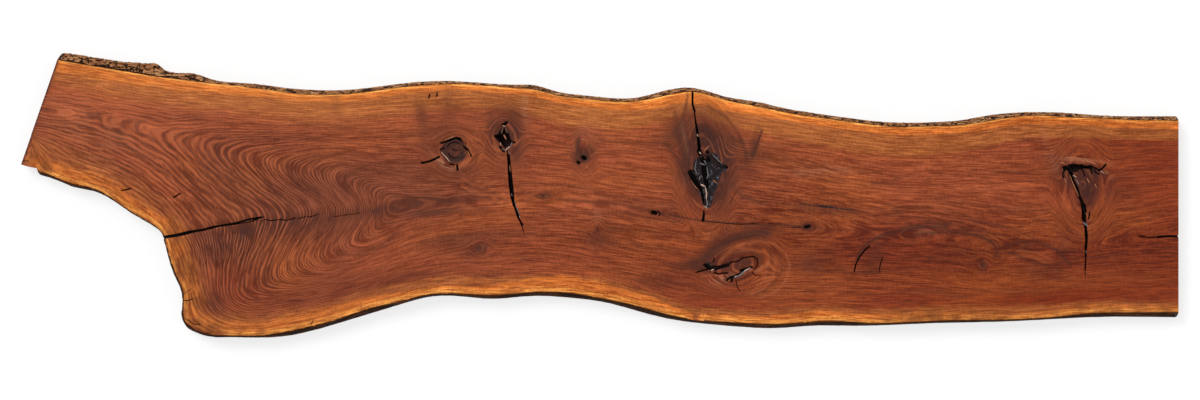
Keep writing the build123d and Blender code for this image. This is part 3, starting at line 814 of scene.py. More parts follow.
def round_the_knots(along, across):
    """Where the grain would lie if no knot pushed it aside, a knot's own rings, and its darkness."""
    dark_rim = 6.0
    shift = np.zeros_like(across)
    rings = np.zeros_like(across)
    dark = np.zeros_like(across)
    for knot in KNOTS.values():
        x, y = turned(knot, along, across)
        away = np.sqrt(x * x + y * y) + 1e-6
        near = 1.0 - smooth_step(1.0, knot.halo, away)
        outside = np.maximum(away, 1.0)
        shift -= (across - knot.across) / outside ** 2 * near
        inside = np.clip(1.0 - away, 0, 1) * min(knot.length, knot.width)
        rings += inside * knot.rings
        dark = np.maximum(dark, np.minimum(inside / dark_rim, 1.0) * knot.dark)
    return across + shift, rings, dark


def wander(along, across, depth, length, width, seed):
    """Smooth noise over the slab, about -1 to 1, as long and wide as given in millimetres."""
    return np.array([
        noise.noise(Vector((x / length + seed, y / width, z / width)))
        for x, y, z in zip(along.tolist(), across.tolist(), depth.tolist())
    ])


def loop_round_knots(ring, ages, along, across):
    """The rings' distances, bent into closed loops round each knot."""
    inner_rim, outer_share = 1.1, 0.95
    for knot in KNOTS.values():
        x, y = turned(knot, along, across)
        away = np.sqrt(x * x + y * y)
        near = LOOP_SHARE * (1.0 - smooth_step(inner_rim, outer_share * knot.halo, away))
        middle = TRUNK_RADIUS * (1.0 - look_up(ages, np.array(knot.along), np.array(knot.across)))
        loops = middle + LOOP_SLOPE * min(knot.length, knot.width) * away
        ring = ring * (1.0 - near) + loops * near
    return ring


def ring_distance(ages, along, across, depth):
    """How far each place is from the pith, counted across the growth rings, in millimetres."""
    shifted, knot_rings, _ = round_the_knots(along, across)
    shifted = shifted + 4.5 * wander(along, across, depth, 160, 70, 3.1)
    shifted += 1.3 * wander(along, across, depth, 42, 26, 8.4)
    sideways = TRUNK_RADIUS * (1.0 - look_up(ages, along, shifted))
    below = HEART_DEPTH - depth
    ring = loop_round_knots(np.sqrt(sideways ** 2 + below ** 2), ages, along, across)
    return ring + 1.1 * knot_rings


def blot(stain, along, across):
    """The strength of one stain at each place, which fades out from its middle."""
    x, y = turned(stain, along, across)
    return stain.strength * np.exp(-(x * x + y * y))


def spotted(stains, along, across):
    """The joint strength of a list of stains at each place."""
    clear = np.ones_like(along)
    for stain in stains:
        clear *= 1.0 - blot(stain, along, across)
    return 1.0 - clear


def shaded(stains, along, across):
    """The summed strength of a list of stains at each place, which may lighten or darken."""
    total = np.zeros_like(along)
    for stain in stains:
        total += blot(stain, along, across)
    return total


def stroked(strokes, along, across):
    """The strength of a list of lines at each place."""
    strength = np.zeros_like(along)
    for stroke in strokes:
        line = np.array(stroke.line, float)
        for start, run in zip(line[:-1], np.diff(line, axis=0)):
            share = ((along - start[0]) * run[0] + (across - start[1]) * run[1]) / (run @ run)
            share = np.clip(share, 0, 1)
            gap = np.hypot(along - start[0] - run[0] * share, across - start[1] - run[1] * share)
            strength = np.maximum(strength, stroke.strength * np.exp(-(gap / stroke.width) ** 2))
    return strength


def edge_sides(rim, pairs):
    """The natural edges' corner points, the bark's side apart from the other."""
    along = (rim[:, 0] - TIP_X) / MM
    across = (rim[:, 1] - CHALK_Y) / MM
    above_tip = across > LIMB_CUT[0][1] + 2 * CUT_BAND
    sawn = (along > BOARD_END) | ((past_limb_cut(along, across) < CUT_BAND) & above_tip)
    natural = np.zeros(len(rim), bool)
    natural[np.unique(pairs)] = True
    natural &= ~sawn
    for box in (TORN_CORNER, SPLIT_MOUTH, *CHECK_MOUTHS):
        natural &= ~in_box(box, along, across)
    upper = natural & (across > BARK_SIDE) & (across > LIMB_SIDE + LIMB_SIDE_SLOPE * along)
    return rim[upper], rim[natural & ~upper]


def distance_to(points, target):
    """How far each point is from the nearest target point, in millimetres, seen from above."""
    tree = tree_of(target)
    return np.array([tree.find((x, y, 0.0))[2] for x, y, _ in points.tolist()]) / MM


def widths(stations, along):
    """Widths read off (along, width) stations."""
    xs, ys = np.array(stations, float).T
    return np.interp(along, xs, ys)


def store(mesh, name, values):
    """Keeps one number per corner point for the materials to read."""
    mesh.attributes.new(name, "FLOAT", "POINT").data.foreach_set("value", values.astype(np.float32))


def corner_points(mesh):
    """A mesh's corner points, one to a row."""
    points = np.zeros(len(mesh.vertices) * 3)
    mesh.vertices.foreach_get("co", points)
    return points.reshape(-1, 3)


def store_figure(mesh, rim, pairs):
    """Works out the rings, sapwood and stains at every corner point of the slab."""
    points = corner_points(mesh)
    along, across, depth = slab_mm(points)
    loop = outer_loop(rim, pairs)
    ages = solve_ages(rim, loop)
    store(mesh, "ring", ring_distance(ages, along, across, depth))
    upper, lower = edge_sides(rim, loop)
    to_upper, to_lower = distance_to(points, upper), distance_to(points, lower)
    ripple = 1.0 + 0.16 * wander(along, across, depth, 70, 50, 5.5)
    ripple += 0.1 * wander(along, across, depth, 18, 14, 1.2)
    upper_crisp, lower_crisp = widths(UPPER_CRISPNESS, along), widths(LOWER_CRISPNESS, along)
    store(mesh, "upper_sap", 1 + (to_upper / widths(UPPER_SAPWOOD, along) * ripple - 1) * upper_crisp)
    store(mesh, "lower_sap", 1 + (to_lower / widths(LOWER_SAPWOOD, along) * ripple - 1) * lower_crisp)
    store(mesh, "upper_olive", 1 + (to_upper / widths(UPPER_OLIVE, along) - 1) * upper_crisp)
    store(mesh, "lower_olive", 1 + (to_lower / widths(LOWER_OLIVE, along) * ripple - 1) * lower_crisp)
    store(mesh, "edge_gap", np.minimum(BARK_RIM_SHARE * to_upper, to_lower))
    dull = np.where(to_upper < to_lower, widths(UPPER_DULLNESS, along), widths(LOWER_DULLNESS, along))
    store(mesh, "dull", dull)
    on_face = smooth_step(*STAIN_DEPTHS, depth)
    _, _, knot_dark = round_the_knots(along, across)
    store(mesh, "knot", knot_dark * on_face)
    dark = 1.0 - (1.0 - spotted(DARK_STAINS, along, across)) * (1.0 - stroked(STROKES, along, across))
    store(mesh, "dark", dark * (STAIN_BELOW + (1 - STAIN_BELOW) * on_face))
    for name, stains in (("warm", WARM_STAINS), ("pale", PALE_STAINS), ("pitch", PITCH_STAINS)):
        store(mesh, name, spotted(stains, along, across) * on_face)
    for name, strokes in (("painted_crack_shade", CRACKS), ("light", LIGHT_STROKES)):
        store(mesh, name, stroked(strokes, along, across) * on_face)
    for name, stains in (("crotch", CROTCH_STAINS), ("red", RED_STAINS), ("close", CLOSE_STAINS)):
        store(mesh, name, spotted(stains, along, across))
    store(mesh, "shade", shaded(SHADES, along, across))
    at_fork = smooth_step(*FIGURE_FADE, along + 0.4 * np.abs(across))
    figure = FIGURE_PLAIN + FIGURE_FORK * at_fork + shaded(FIGURE_STAINS, along, across)
    store(mesh, "figure", np.clip(figure, 0, 1))


# Materials


class Graph:
    """Adds nodes to one material. Each input takes another node's output or a plain value."""

    def __init__(self, name):
        self.material = bpy.data.materials.new(name)
        self.material.use_nodes = True
        self.tree = self.material.node_tree
        self.shader = self.tree.nodes["Principled BSDF"]
        self.place = self.node("ShaderNodeTexCoord").outputs["Object"]

    def feed(self, socket, value):
        if isinstance(value, bpy.types.NodeSocket):
            self.tree.links.new(value, socket)
        elif socket.type == "RGBA":
            socket.default_value = (*value, 1.0)[:4]
        else:
            socket.default_value = value

    def node(self, kind, inputs=(), **settings):
        made = self.tree.nodes.new(kind)
        for name, value in settings.items():
            setattr(made, name, value)
        for key, value in dict(inputs).items():
            self.feed(made.inputs[key], value)
        return made

    def attribute(self, name):
        return self.node("ShaderNodeAttribute", attribute_name=name).outputs["Fac"]

    def math(self, operation, *values):
        return self.node("ShaderNodeMath", enumerate(values), operation=operation).outputs[0]

    def vector(self, operation, *values):
        return self.node("ShaderNodeVectorMath", enumerate(values), operation=operation).outputs[0]

    def add(self, first, *others):
        total = first
        for other in others:
            total = self.math("ADD", total, other)
        return total

    def times(self, *values):
        return self.math("MULTIPLY", *values)

    def swing(self, value, amount):
        """How far a value lies from a half, times an amount."""
        return self.times(self.add(value, -0.5), amount)

    def remap(self, value, low, high, to_low=0.0, to_high=1.0):
        """A smooth step from one value to another as the input runs from low to high."""
        return self.node(
            "ShaderNodeMapRange", {0: value, 1: low, 2: high, 3: to_low, 4: to_high},
            interpolation_type="SMOOTHSTEP",
        ).outputs[0]

    def noise(self, scale, stretch=None, detail=2.0, rough=0.5):
        """Noise over the slab, closer in the directions that are stretched."""
        at = self.vector("MULTIPLY", self.place, stretch) if stretch else self.place
        inputs = {"Vector": at, "Scale": scale, "Detail": detail, "Roughness": rough}
        return self.node("ShaderNodeTexNoise", inputs).outputs[0]

    def streaks(self, ring, width, length, detail=1.0, rough=0.5):
        """Noise in streaks that follow the rings, as wide and as long as given in millimetres."""
        inputs = {
            "Vector": self.place, "W": self.times(ring, length * MM / width), "Scale": 1.0 / (length * MM),
            "Detail": detail, "Roughness": rough,
        }
        return self.node("ShaderNodeTexNoise", inputs, noise_dimensions="4D").outputs[0]

    def mix(self, share, first, second):
        """One colour laid over another, by its share."""
        blend, under, over, mixed = 0, 6, 7, 2  # a mix node's sockets for colours
        inputs = {blend: share, under: first, over: second}
        return self.node("ShaderNodeMix", inputs, data_type="RGBA").outputs[mixed]

    def brighten(self, colour, factor):
        inputs = {0: colour, "Scale": factor}
        return self.node("ShaderNodeVectorMath", inputs, operation="SCALE").outputs[0]

    def bump(self, height, distance):
        made = self.node("ShaderNodeBump", {"Strength": 1.0, "Distance": distance, "Height": height})
        self.feed(self.shader.inputs["Normal"], made.outputs[0])

    def finish(self, colour, roughness, specular):
        self.feed(self.shader.inputs["Base Color"], colour)
        self.feed(self.shader.inputs["Roughness"], roughness)
        self.feed(self.shader.inputs["Specular IOR Level"], specular)
        return self.material


def heartwood(graph, colours, ring):
    """Heartwood in dark and warm bands, with hairlines."""
    dark_share, warm_share, stained_share, hair_share, hair_half = 0.4, 0.3, 0.7, 0.45, 0.03
    bands = graph.streaks(ring, 17, 300)
    cloud = graph.noise(3.2, stretch=(1.0, 1.8, 1.0), detail=1.0)
    heart = graph.mix(graph.attribute("crotch"), colours.heart, colours.crotch)
    heart = graph.mix(graph.attribute("red"), heart, colours.heart_red)
    heart = graph.mix(graph.remap(bands, 0.5, 0.3, 0.0, dark_share), heart, colours.heart_dark)
    heart = graph.mix(graph.remap(cloud, 0.5, 0.72, 0.0, warm_share), heart, colours.heart_warm)
    heart = graph.mix(graph.times(graph.attribute("warm"), stained_share), heart, colours.heart_warm)
    from_hair = graph.math("ABSOLUTE", graph.add(graph.streaks(ring, 13, 420, detail=0.0), -0.5))
    hairline = graph.remap(from_hair, hair_half, 0.0, 0.0, hair_share)
    return graph.mix(hairline, heart, colours.heart_dark)


def figured(graph, colours, sizes, ring, colour, sapwood):
    """The pale and dark lines of the crotch figure, one for each growth ring, fainter in the sapwood."""
    waver, gap_strength, sapwood_strength = 1.6, 0.65, 0.35
    narrow = graph.math("MINIMUM", ring, WIDE_RINGS)
    wide = graph.times(graph.math("MAXIMUM", graph.add(ring, -WIDE_RINGS), 0.0), WIDE_SHARE)
    count = graph.times(graph.add(narrow, wide), MM / sizes.growth_ring)
    turns = graph.add(count, graph.times(graph.streaks(ring, 12, 50), waver))
    wave = graph.math("COSINE", graph.times(turns, 2.0 * math.pi))
    closer = graph.math("COSINE", graph.times(turns, 4.0 * math.pi))
    closeness = graph.remap(graph.attribute("close"), 0.35, 0.65)
    wave = graph.add(wave, graph.times(closeness, graph.math("SUBTRACT", closer, wave)))
    broken = graph.remap(graph.streaks(ring, 9, 36), 0.38, 0.58)
    in_sapwood = graph.remap(sapwood, 0.0, 1.0, 1.0, sapwood_strength)
    figure = graph.times(graph.attribute("figure"), in_sapwood)
    pale_lines = graph.times(graph.times(graph.remap(wave, 0.25, 1.0), broken), figure)
    pale_lines = graph.times(pale_lines, graph.remap(sapwood, 0.0, 0.5, 1.0, 0.0))
    colour = graph.mix(pale_lines, colour, colours.line)
    gaps = graph.times(graph.remap(wave, -0.3, -0.95), graph.times(figure, gap_strength))
    return graph.mix(gaps, colour, colours.line_dark)


def banded_wood(graph, colours, heart, middle, fine):
    """The heartwood with the olive band and sapwood laid in along the edges, and where the sapwood is."""
    lower_share, olive_share, most_dull, flecked = 0.8, 0.85, 0.95, 0.6
    blur = graph.swing(middle, 0.7)

    def band(name, full):
        """How fully a band covers the wood, from its stored reach: 1 is its inner limit."""
        return graph.remap(graph.add(graph.attribute(name), blur), 1.4, full)

    upper_olive, lower_olive = band("upper_olive", 0.6), band("lower_olive", 0.6)
    olive = graph.math("MAXIMUM", upper_olive, graph.times(lower_olive, lower_share))
    colour = graph.mix(graph.times(olive, olive_share), heart, colours.olive)
    plain = graph.remap(fine, 0.36, 0.62, 0.35, 1.0)
    sapwood = graph.mix(plain, colours.sapwood_deep, colours.sapwood)
    golden = graph.remap(graph.attribute("edge_gap"), 17.0, 6.0)
    golden = graph.times(golden, graph.remap(fine, 0.38, 0.62, 0.2, 0.85))
    sapwood = graph.mix(golden, sapwood, colours.sapwood_gold)
    mottle = graph.remap(graph.noise(34.0, detail=2.0), 0.35, 0.65, 0.6, 1.3)
    dull = graph.math("MINIMUM", graph.times(graph.attribute("dull"), mottle), most_dull)
    sapwood = graph.mix(dull, sapwood, colours.sapwood_dull)
    flecks = graph.noise(1.0, stretch=(150.0, 260.0, 200.0), detail=1.0)
    sapwood = graph.mix(graph.remap(flecks, 0.6, 0.72, 0.0, flecked), sapwood, colours.sapwood_dull)
    reach = graph.math("MAXIMUM", band("upper_sap", 0.7), band("lower_sap", 0.7))
    return graph.mix(reach, colour, sapwood), reach


def grained(graph, colour, sapwood, middle, fine, ripple, pore_depth):
    """The wood made lighter and darker along its grain, with a faint ripple across it."""
    darkest, lift, sapwood_strength, red_strength = -0.34, 0.01, 0.8, 0.72
    by_channel = (1.0, 1.3, 1.6)
    grain = graph.add(
        graph.swing(middle, 0.9), graph.swing(fine, 3.3), graph.swing(ripple, 0.65),
        graph.times(pore_depth, -0.2),
    )
    grain = graph.times(grain, graph.remap(sapwood, 0.0, 1.0, 1.0, sapwood_strength))
    grain = graph.times(grain, graph.remap(graph.attribute("red"), 0.0, 1.0, 1.0, red_strength))
    tone = graph.add(graph.math("MAXIMUM", grain, darkest), graph.attribute("shade"), lift)
    light = graph.vector("MULTIPLY_ADD", tone, by_channel, (1.0, 1.0, 1.0))
    return graph.vector("MULTIPLY", colour, light)


def face_wood(colours, sizes):
    """Oiled wood as the saw and the plane leave it, with sapwood, rings, stains and pitch."""
    most_smoke, pitch_cover = 0.88, 0.93
    graph = Graph("oiled_face_wood")
    ring = graph.attribute("ring")
    middle = graph.streaks(ring, 4.4, 130)
    fine = graph.streaks(ring, 2.3, 42, detail=2.0, rough=0.7)
    pore_depth = graph.remap(graph.streaks(ring, 1.3, 10), 0.45, 0.3)
    ripple = graph.noise(1.0, stretch=(240.0, 80.0, 60.0), detail=1.0)
    heart = heartwood(graph, colours, ring)
    colour, sapwood = banded_wood(graph, colours, heart, middle, fine)
    colour = grained(graph, colour, sapwood, middle, fine, ripple, pore_depth)
    # Painted shade: a dark line along the natural edges, partly the cambium and partly the shaded sloping
    # edge
    painted_edge_shade = graph.remap(graph.attribute("edge_gap"), 4.4, 1.2, 0.0, 0.95)
    colour = graph.mix(painted_edge_shade, colour, colours.rim)

    # Stains, pale fibres, pitch with painted sheen, and cracks with painted shade inside
    colour = graph.mix(graph.attribute("light"), colour, colours.line)
    along_grain = graph.add(graph.times(middle, 1.4), graph.times(fine, 2.4), -0.9)
    smoke = graph.math("MAXIMUM", graph.times(graph.attribute("dark"), along_grain), 0.0)
    colour = graph.mix(graph.math("MINIMUM", smoke, most_smoke), colour, colours.stain)
    colour = figured(graph, colours, sizes, ring, colour, sapwood)
    knot = graph.times(graph.attribute("knot"), graph.remap(fine, 0.66, 0.4, 0.75, 0.98))
    colour = graph.mix(knot, colour, colours.stain)
    pale = graph.times(graph.attribute("pale"), graph.remap(fine, 0.4, 0.58))
    colour = graph.mix(pale, colour, colours.pale)
    pitch = graph.remap(graph.add(graph.attribute("pitch"), graph.swing(middle, 0.8)), 0.42, 0.62)
    # Painted sheen: blue-grey reflections mottled into the pitch's colour
    painted_sheen_share = graph.remap(graph.noise(190.0, detail=2.0), 0.54, 0.72)
    pitch_with_painted_sheen = graph.mix(painted_sheen_share, colours.pitch, colours.painted_pitch_sheen)
    colour = graph.mix(graph.times(pitch, pitch_cover), colour, pitch_with_painted_sheen)
    # Painted shade: the cracks and knot holes are painted black
    crack_shade_share = graph.remap(graph.attribute("painted_crack_shade"), 0.2, 0.5)
    colour = graph.mix(crack_shade_share, colour, colours.painted_crack_shade)

    roughness = graph.remap(pitch, 0.0, 1.0, 0.5, 0.22)
    specular = graph.remap(graph.math("MAXIMUM", crack_shade_share, painted_edge_shade), 0.0, 1.0, 0.15, 0.0)
    height = graph.add(graph.times(fine, 0.5), graph.times(ripple, 0.25), graph.times(pore_depth, -0.5))
    graph.bump(height, 0.25 * MM)
    return graph.finish(colour, roughness, specular)


def end_wood(colours):
    """Sawn end grain: rings, pores as dots, and saw marks."""
    graph = Graph("sawn_end_grain")
    wave = graph.math("COSINE", graph.times(graph.attribute("ring"), 0.9))
    dots = graph.noise(700.0, detail=0.0)
    saw = graph.noise(1.0, stretch=(500.0, 500.0, 30.0), detail=1.0)
    tone = graph.add(graph.times(wave, 0.14), graph.add(graph.times(saw, 0.5), 0.6))
    tone = graph.add(tone, graph.remap(dots, 0.4, 0.25, 0.0, -0.4))
    nearest = graph.math("MINIMUM", graph.attribute("upper_sap"), graph.attribute("lower_sap"))
    sapwood = graph.times(graph.remap(nearest, 1.05, 0.85), 0.6)
    colour = graph.mix(sapwood, colours.end_grain, colours.sapwood_deep)
    graph.bump(graph.add(saw, graph.times(dots, 0.5)), 0.5 * MM)
    return graph.finish(graph.brighten(colour, tone), 0.7, 0.2)


def stripped_edge(colours):
    """The natural edge with its bark off: dark ridges that run along the grain."""
    graph = Graph("stripped_edge")
    ridges = graph.noise(1.0, stretch=(18.0, 18.0, 260.0), detail=3.0, rough=0.6)
    patches = graph.noise(26.0, stretch=(1.0, 1.0, 2.0), detail=2.0)
    colour = graph.mix(graph.remap(ridges, 0.46, 0.64), colours.inner_bark, colours.inner_bark_warm)
    colour = graph.mix(graph.remap(patches, 0.5, 0.35, 0.0, 0.8), colour, colours.inner_bark)
    graph.bump(ridges, 1.5 * MM)
    return graph.finish(colour, 0.8, 0.03)


def split_wood(colours):
    """The walls of the checks, the split and the rot pockets: dark, with paler fibres."""
    graph = Graph("split_wood")
    fibres = graph.noise(1.0, stretch=(60.0, 420.0, 90.0), detail=2.0)
    grit = graph.noise(300.0, detail=2.0)
    colour = graph.mix(graph.remap(fibres, 0.5, 0.72, 0.0, 0.5), colours.split, colours.heart_dark)
    colour = graph.brighten(colour, graph.add(grit, 0.4))
    graph.bump(graph.add(fibres, grit), 0.8 * MM)
    return graph.finish(colour, 0.7, 0.25)


def torn_fibre(name, colour):
    """Bare fibres that have torn out of a knot or a check, some of them pale and grey bits that stand for
    painted glints.
    """
    graph = Graph(name)
    fibres = graph.noise(420.0, detail=2.0, rough=0.6)
    graph.bump(fibres, 0.6 * MM)
    return graph.finish(graph.brighten(colour, graph.add(graph.times(fibres, 1.6), 0.2)), 0.6, 0.25)


def flaky_bark(colours):
    """Weathered bark: brown flakes, paler where they are worn, black in the gaps between them."""
    graph = Graph("flaky_bark")
    flake, lot = graph.attribute("flake"), graph.attribute("lot")
    grit = graph.noise(300.0, detail=3.0, rough=0.7)
    streak = graph.noise(1.0, stretch=(60.0, 330.0, 220.0), detail=2.0)
    worn = graph.add(graph.times(lot, 0.5), graph.times(streak, 0.7), graph.times(grit, 0.6))
    colour = graph.mix(graph.remap(worn, 0.8, 1.06), colours.bark, colours.bark_worn)
    fissure = graph.add(flake, graph.swing(grit, 1.6), graph.swing(streak, 2.6))
    colour = graph.mix(graph.remap(fissure, 0.66, 0.28), colour, colours.bark_dark)
    colour = graph.mix(graph.remap(graph.attribute("inner"), 0.25, 0.8), colour, colours.inner_bark)
    graph.bump(graph.add(grit, streak), 1 * MM)
    return graph.finish(colour, 0.85, 0.05)


FACE, END, EDGE, SPLIT = range(4)
SPLINTER_TONES = ("pale", "tan", "grey", "brown")
SHALLOW = 6.0 * MM  # the floors of hollows no deeper than this are finished like the face


def outward_edges(rim, pairs):
    """A search tree of the middles of the rim's edges, with the outward direction at each."""
    just_inside, shortest = 3e-4, 1e-12
    start, end = rim[pairs[:, 0]], rim[pairs[:, 1]]
    middle = (start + end) / 2
    run = end - start
    side = np.column_stack((run[:, 1], -run[:, 0])) / (np.linalg.norm(run, axis=1)[:, None] + shortest)
    inward = inside_rim(middle + side * just_inside, rim, pairs)
    side[inward] *= -1
    return tree_of(middle), side


def sort_faces(body, bottom):
    """Gives each face its material: sawn face, sawn end, natural edge, or the wall of a split."""
    square_to_cut, square_to_end, outward_share = 0.99, 0.98, 0.45
    on_end, on_cut, near_rim = 1e-4, 2e-4, 0.03
    tree, outward = outward_edges(*bottom)
    tip = Vector((*place(*LIMB_CUT[0]), 0))
    cut = Vector([top - low for low, top in zip(*LIMB_CUT)]).normalized()
    cut_normal = Vector((-cut.y, cut.x, 0))
    for face in body.faces:
        middle, normal = face.calc_center_median(), face.normal
        along, across = (middle.x - TIP_X) / MM, (middle.y - CHALK_Y) / MM
        _, number, gap = tree.find((middle.x, middle.y, 0.0))
        shallow = middle.z > SLAB_HIGH.z - SHALLOW
        facing_cut = normal.dot(cut_normal)
        if abs(normal.z) > FLAT and (on_sawn_side(middle.z) or shallow):
            face.material_index = FACE
        elif shallow and in_box(THIN_CHIP, along, across) and facing_cut < square_to_cut:
            face.material_index = FACE
        elif normal.x > square_to_end and middle.x > SLAB_HIGH.x - on_end:
            face.material_index = END
        elif facing_cut > square_to_cut and abs((middle - tip).dot(cut_normal)) < on_cut:
            face.material_index = END
        elif (gap < near_rim and Vector(outward[number]).dot(normal.xy) > outward_share
              and not in_box(SPLIT_WALLS, along, across)):
            face.material_index = EDGE
        else:
            face.material_index = SPLIT


def roughen_edges(body, depth, bark_bed):
    """Presses ridges that run with the grain into the natural edges, and a bed for the bark."""
    upright, rim_share = 1e-6, 0.4
    for corner in body.verts:
        edges = [face for face in corner.link_faces if face.material_index == EDGE]
        if not edges or any(face.material_index == END for face in corner.link_faces):
            continue
        outward = sum((face.normal for face in edges), Vector())
        outward.z = 0
        if outward.length < upright:
            continue
        at = corner.co
        ridge = noise.noise(Vector((at.x * 30, at.y * 30, at.z * 240)))
        lump = noise.noise(Vector((at.x * 90, at.y * 90, at.z * 40 + 7)))
        inward = max(depth * (0.45 + 0.4 * ridge + 0.35 * lump), 0.0)
        on_rim = any(face.material_index == FACE for face in corner.link_faces)
        if outward.y > 0 and not on_rim:
            inward = bark_bed
        corner.co = at - outward.normalized() * inward * (rim_share if on_rim else 1.0)


def press_face(body, sizes):
    """Sinks the face along its cracks, under its splinters and over its torn knots."""
    corners = [corner for corner in body.verts if corner.co.z > SLAB_HIGH.z - ON_LEVEL]
    along, across, depth = slab_mm(np.array([corner.co for corner in corners]))
    _, _, knot_dark = round_the_knots(along, across)
    torn = sizes.torn_depth * knot_dark * (0.6 + 0.6 * wander(along, across, depth, 7, 6, 2.7))
    crack_shade_share = sizes.crack_depth * stroked(CRACKS, along, across)
    bedded = sizes.bed_depth * stroked(BEDS, along, across)
    for corner, sink in zip(corners, np.maximum(np.maximum(torn, 0), np.maximum(crack_shade_share, bedded))):
        corner.co.z -= sink


def skin(ring, following):
    """The four-cornered faces between one ring of corner numbers and the ring that follows it."""
    turned_ring, turned_following = (list(one[1:]) + list(one[:1]) for one in (ring, following))
    return list(zip(ring, turned_ring, turned_following, following))


def splinter_mesh(sizes):
    """Every splinter as a tapered ridge along its line, with a material for its tone."""
    ridge_fall = 0.3 * MM
    chance = random.Random(7)
    corners, faces, tones = [], [], []
    for splinter in SPLINTERS:
        line = [Vector(place(*spot)) for spot in splinter.line]
        halves = [start.lerp(end, share) for start, end in zip(line, line[1:]) for share in (0.0, 0.5)]
        line = halves + line[-1:]
        top = SLAB_HIGH.z - chance.uniform(0.1, 0.9) * MM
        first = len(corners)
        for number, spot in enumerate(line):
            run = (line[min(number + 1, len(line) - 1)] - line[max(number - 1, 0)]).normalized()
            taper = 0.3 + 0.7 * math.sin(math.pi * (number + 0.5) / len(line))
            across = Vector((-run.y, run.x))
            spot = spot + across * chance.uniform(-0.3, 0.3) * MM
            side = across * (splinter.width * MM / 2 * taper)
            corners += [
                (*(spot - side), top - sizes.splinter_height), (*(spot - 0.3 * side), top),
                (*(spot + 0.5 * side), top - ridge_fall), (*(spot + side), top - sizes.splinter_height),
            ]
        for start in range(first, len(corners) - 4, 4):
            faces += skin(range(start, start + 4), range(start + 4, start + 8))
        faces += [tuple(range(first, first + 4)), tuple(range(len(corners) - 1, len(corners) - 5, -1))]
        tones += [SPLINTER_TONES.index(splinter.tone)] * (len(faces) - len(tones))
    mesh = bpy.data.meshes.new("splinters")
    mesh.from_pydata(corners, [], faces)
    mesh.polygons.foreach_set("material_index", tones)
    face_outward(mesh)
    return mesh


def plank_body(sizes, colours):
    """The whole slab as one closed mesh with its figure and its four finishes."""
    weld = 2e-6
    body = slab_walls(sizes.edge_step, sizes.edge_levels)
    top = add_face(body, sizes, SLAB_HIGH.z, back=False)
    bottom = add_face(body, sizes, SLAB_LOW.z, back=True)
    bmesh.ops.remove_doubles(body, verts=body.verts[:], dist=weld)
    sort_faces(body, bottom)
    roughen_edges(body, sizes.ridge_depth, 2 * sizes.bark_sink)
    press_face(body, sizes)
    mesh = bpy.data.meshes.new("plank_body")
    body.to_mesh(mesh)
    body.free()
    store_figure(mesh, *top)
    finishes = face_wood(colours, sizes), end_wood(colours), stripped_edge(colours), split_wood(colours)
    for material in finishes:
        mesh.materials.append(material)
    return new_piece("plank_body", mesh)


def flake_at(run, rise):
    """How far a spot of the bark stands out of its fissures, 0 to 1, and a number for its flake."""
    at = Vector((run / FLAKE_LENGTH, rise / FLAKE_HEIGHT, 0.0))
    at += 0.45 * Vector([noise.noise(at * 1.3 + Vector((0.0, 0.0, shift))) for shift in FLAKE_SHIFTS])
    gaps, middles = noise.voronoi(at)
    height = smooth_step(0.02, 0.3, gaps[1] - gaps[0])
    lot = 0.5 + 0.5 * noise.noise(middles[0] * 3.7)
    return float(height), lot


def bark_columns(sizes):
    """The slab's own side under the bark: rows of points up it, and the way out of it, at each step."""
    from_face, from_back, from_end, off_side, facing_out = 0.3 * MM, 0.2 * MM, 0.5 * MM, 0.05, 0.5
    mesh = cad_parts[SLAB].data
    slab = BVHTree.FromPolygons(
        [corner.co for corner in mesh.vertices], [face.vertices[:] for face in mesh.polygons]
    )
    heights = np.linspace(SLAB_HIGH.z - from_face, SLAB_LOW.z + from_back, sizes.bark_rows)
    start = place(LIMB_CUT[1][0] + 3.0, 0)[0]
    columns = []
    for x in np.arange(start, SLAB_HIGH.x - from_end, sizes.bark_step):
        hits = [slab.ray_cast(Vector((x, SLAB_HIGH.y + off_side, z)), Vector((0, -1, 0))) for z in heights]
        if all(hit[0] and hit[1].y > facing_out for hit in hits):
            columns.append([(hit[0], Vector((hit[1].x, hit[1].y, 0)).normalized()) for hit in hits])
    return columns


def bark_strip(sizes, colours):
    """The thin flaky bark left on the upper edge, thick at the limb's end and worn further on."""
    rows = sizes.bark_rows
    spots = []
    for column in bark_columns(sizes):
        along = (column[0][0].x - TIP_X) / MM
        thickness = sizes.bark_thickness * float(widths(BARK_SHARE, along))
        for row, (point, outward) in enumerate(column):
            rise = row / (rows - 1)
            height, lot = flake_at(along, rise * THICKNESS / MM)
            fray = 0.5 + 0.5 * noise.noise(point * 160)
            out = thickness * (0.25 + 0.6 * height + 0.5 * lot * fray) * (1.0 - 0.55 * rise ** 3)
            spot = point + outward * (out - sizes.bark_sink)
            spot.y = min(spot.y, SLAB_HIGH.y)
            spot.x = min(spot.x, SLAB_HIGH.x)
            spots.append((spot, height, lot, 0.0))
        for point, outward in (column[-1], column[0]):
            spots.append((point - outward * BARK_BACK, 0.0, 0.5, 1.0))
    corners, flakes, lots, inner = zip(*spots)
    size = rows + 2
    rings = [range(first, first + size) for first in range(0, len(corners), size)]
    faces = [face for ring, following in zip(rings, rings[1:]) for face in skin(ring, following)]
    faces += [tuple(rings[0]), tuple(reversed(rings[-1]))]
    mesh = bpy.data.meshes.new("bark_strip")
    mesh.from_pydata([tuple(corner) for corner in corners], [], faces)
    face_outward(mesh)
    for name, values in (("flake", flakes), ("lot", lots), ("inner", inner)):
        store(mesh, name, np.array(values))
    mesh.materials.append(flaky_bark(colours))
    return new_piece("bark_strip", mesh)


def face_outward(mesh):
    """Turns every face of a closed mesh to look out of it."""
    body = bmesh.new()
    body.from_mesh(mesh)
    bmesh.ops.recalc_face_normals(body, faces=body.faces[:])
    body.to_mesh(mesh)
    body.free()


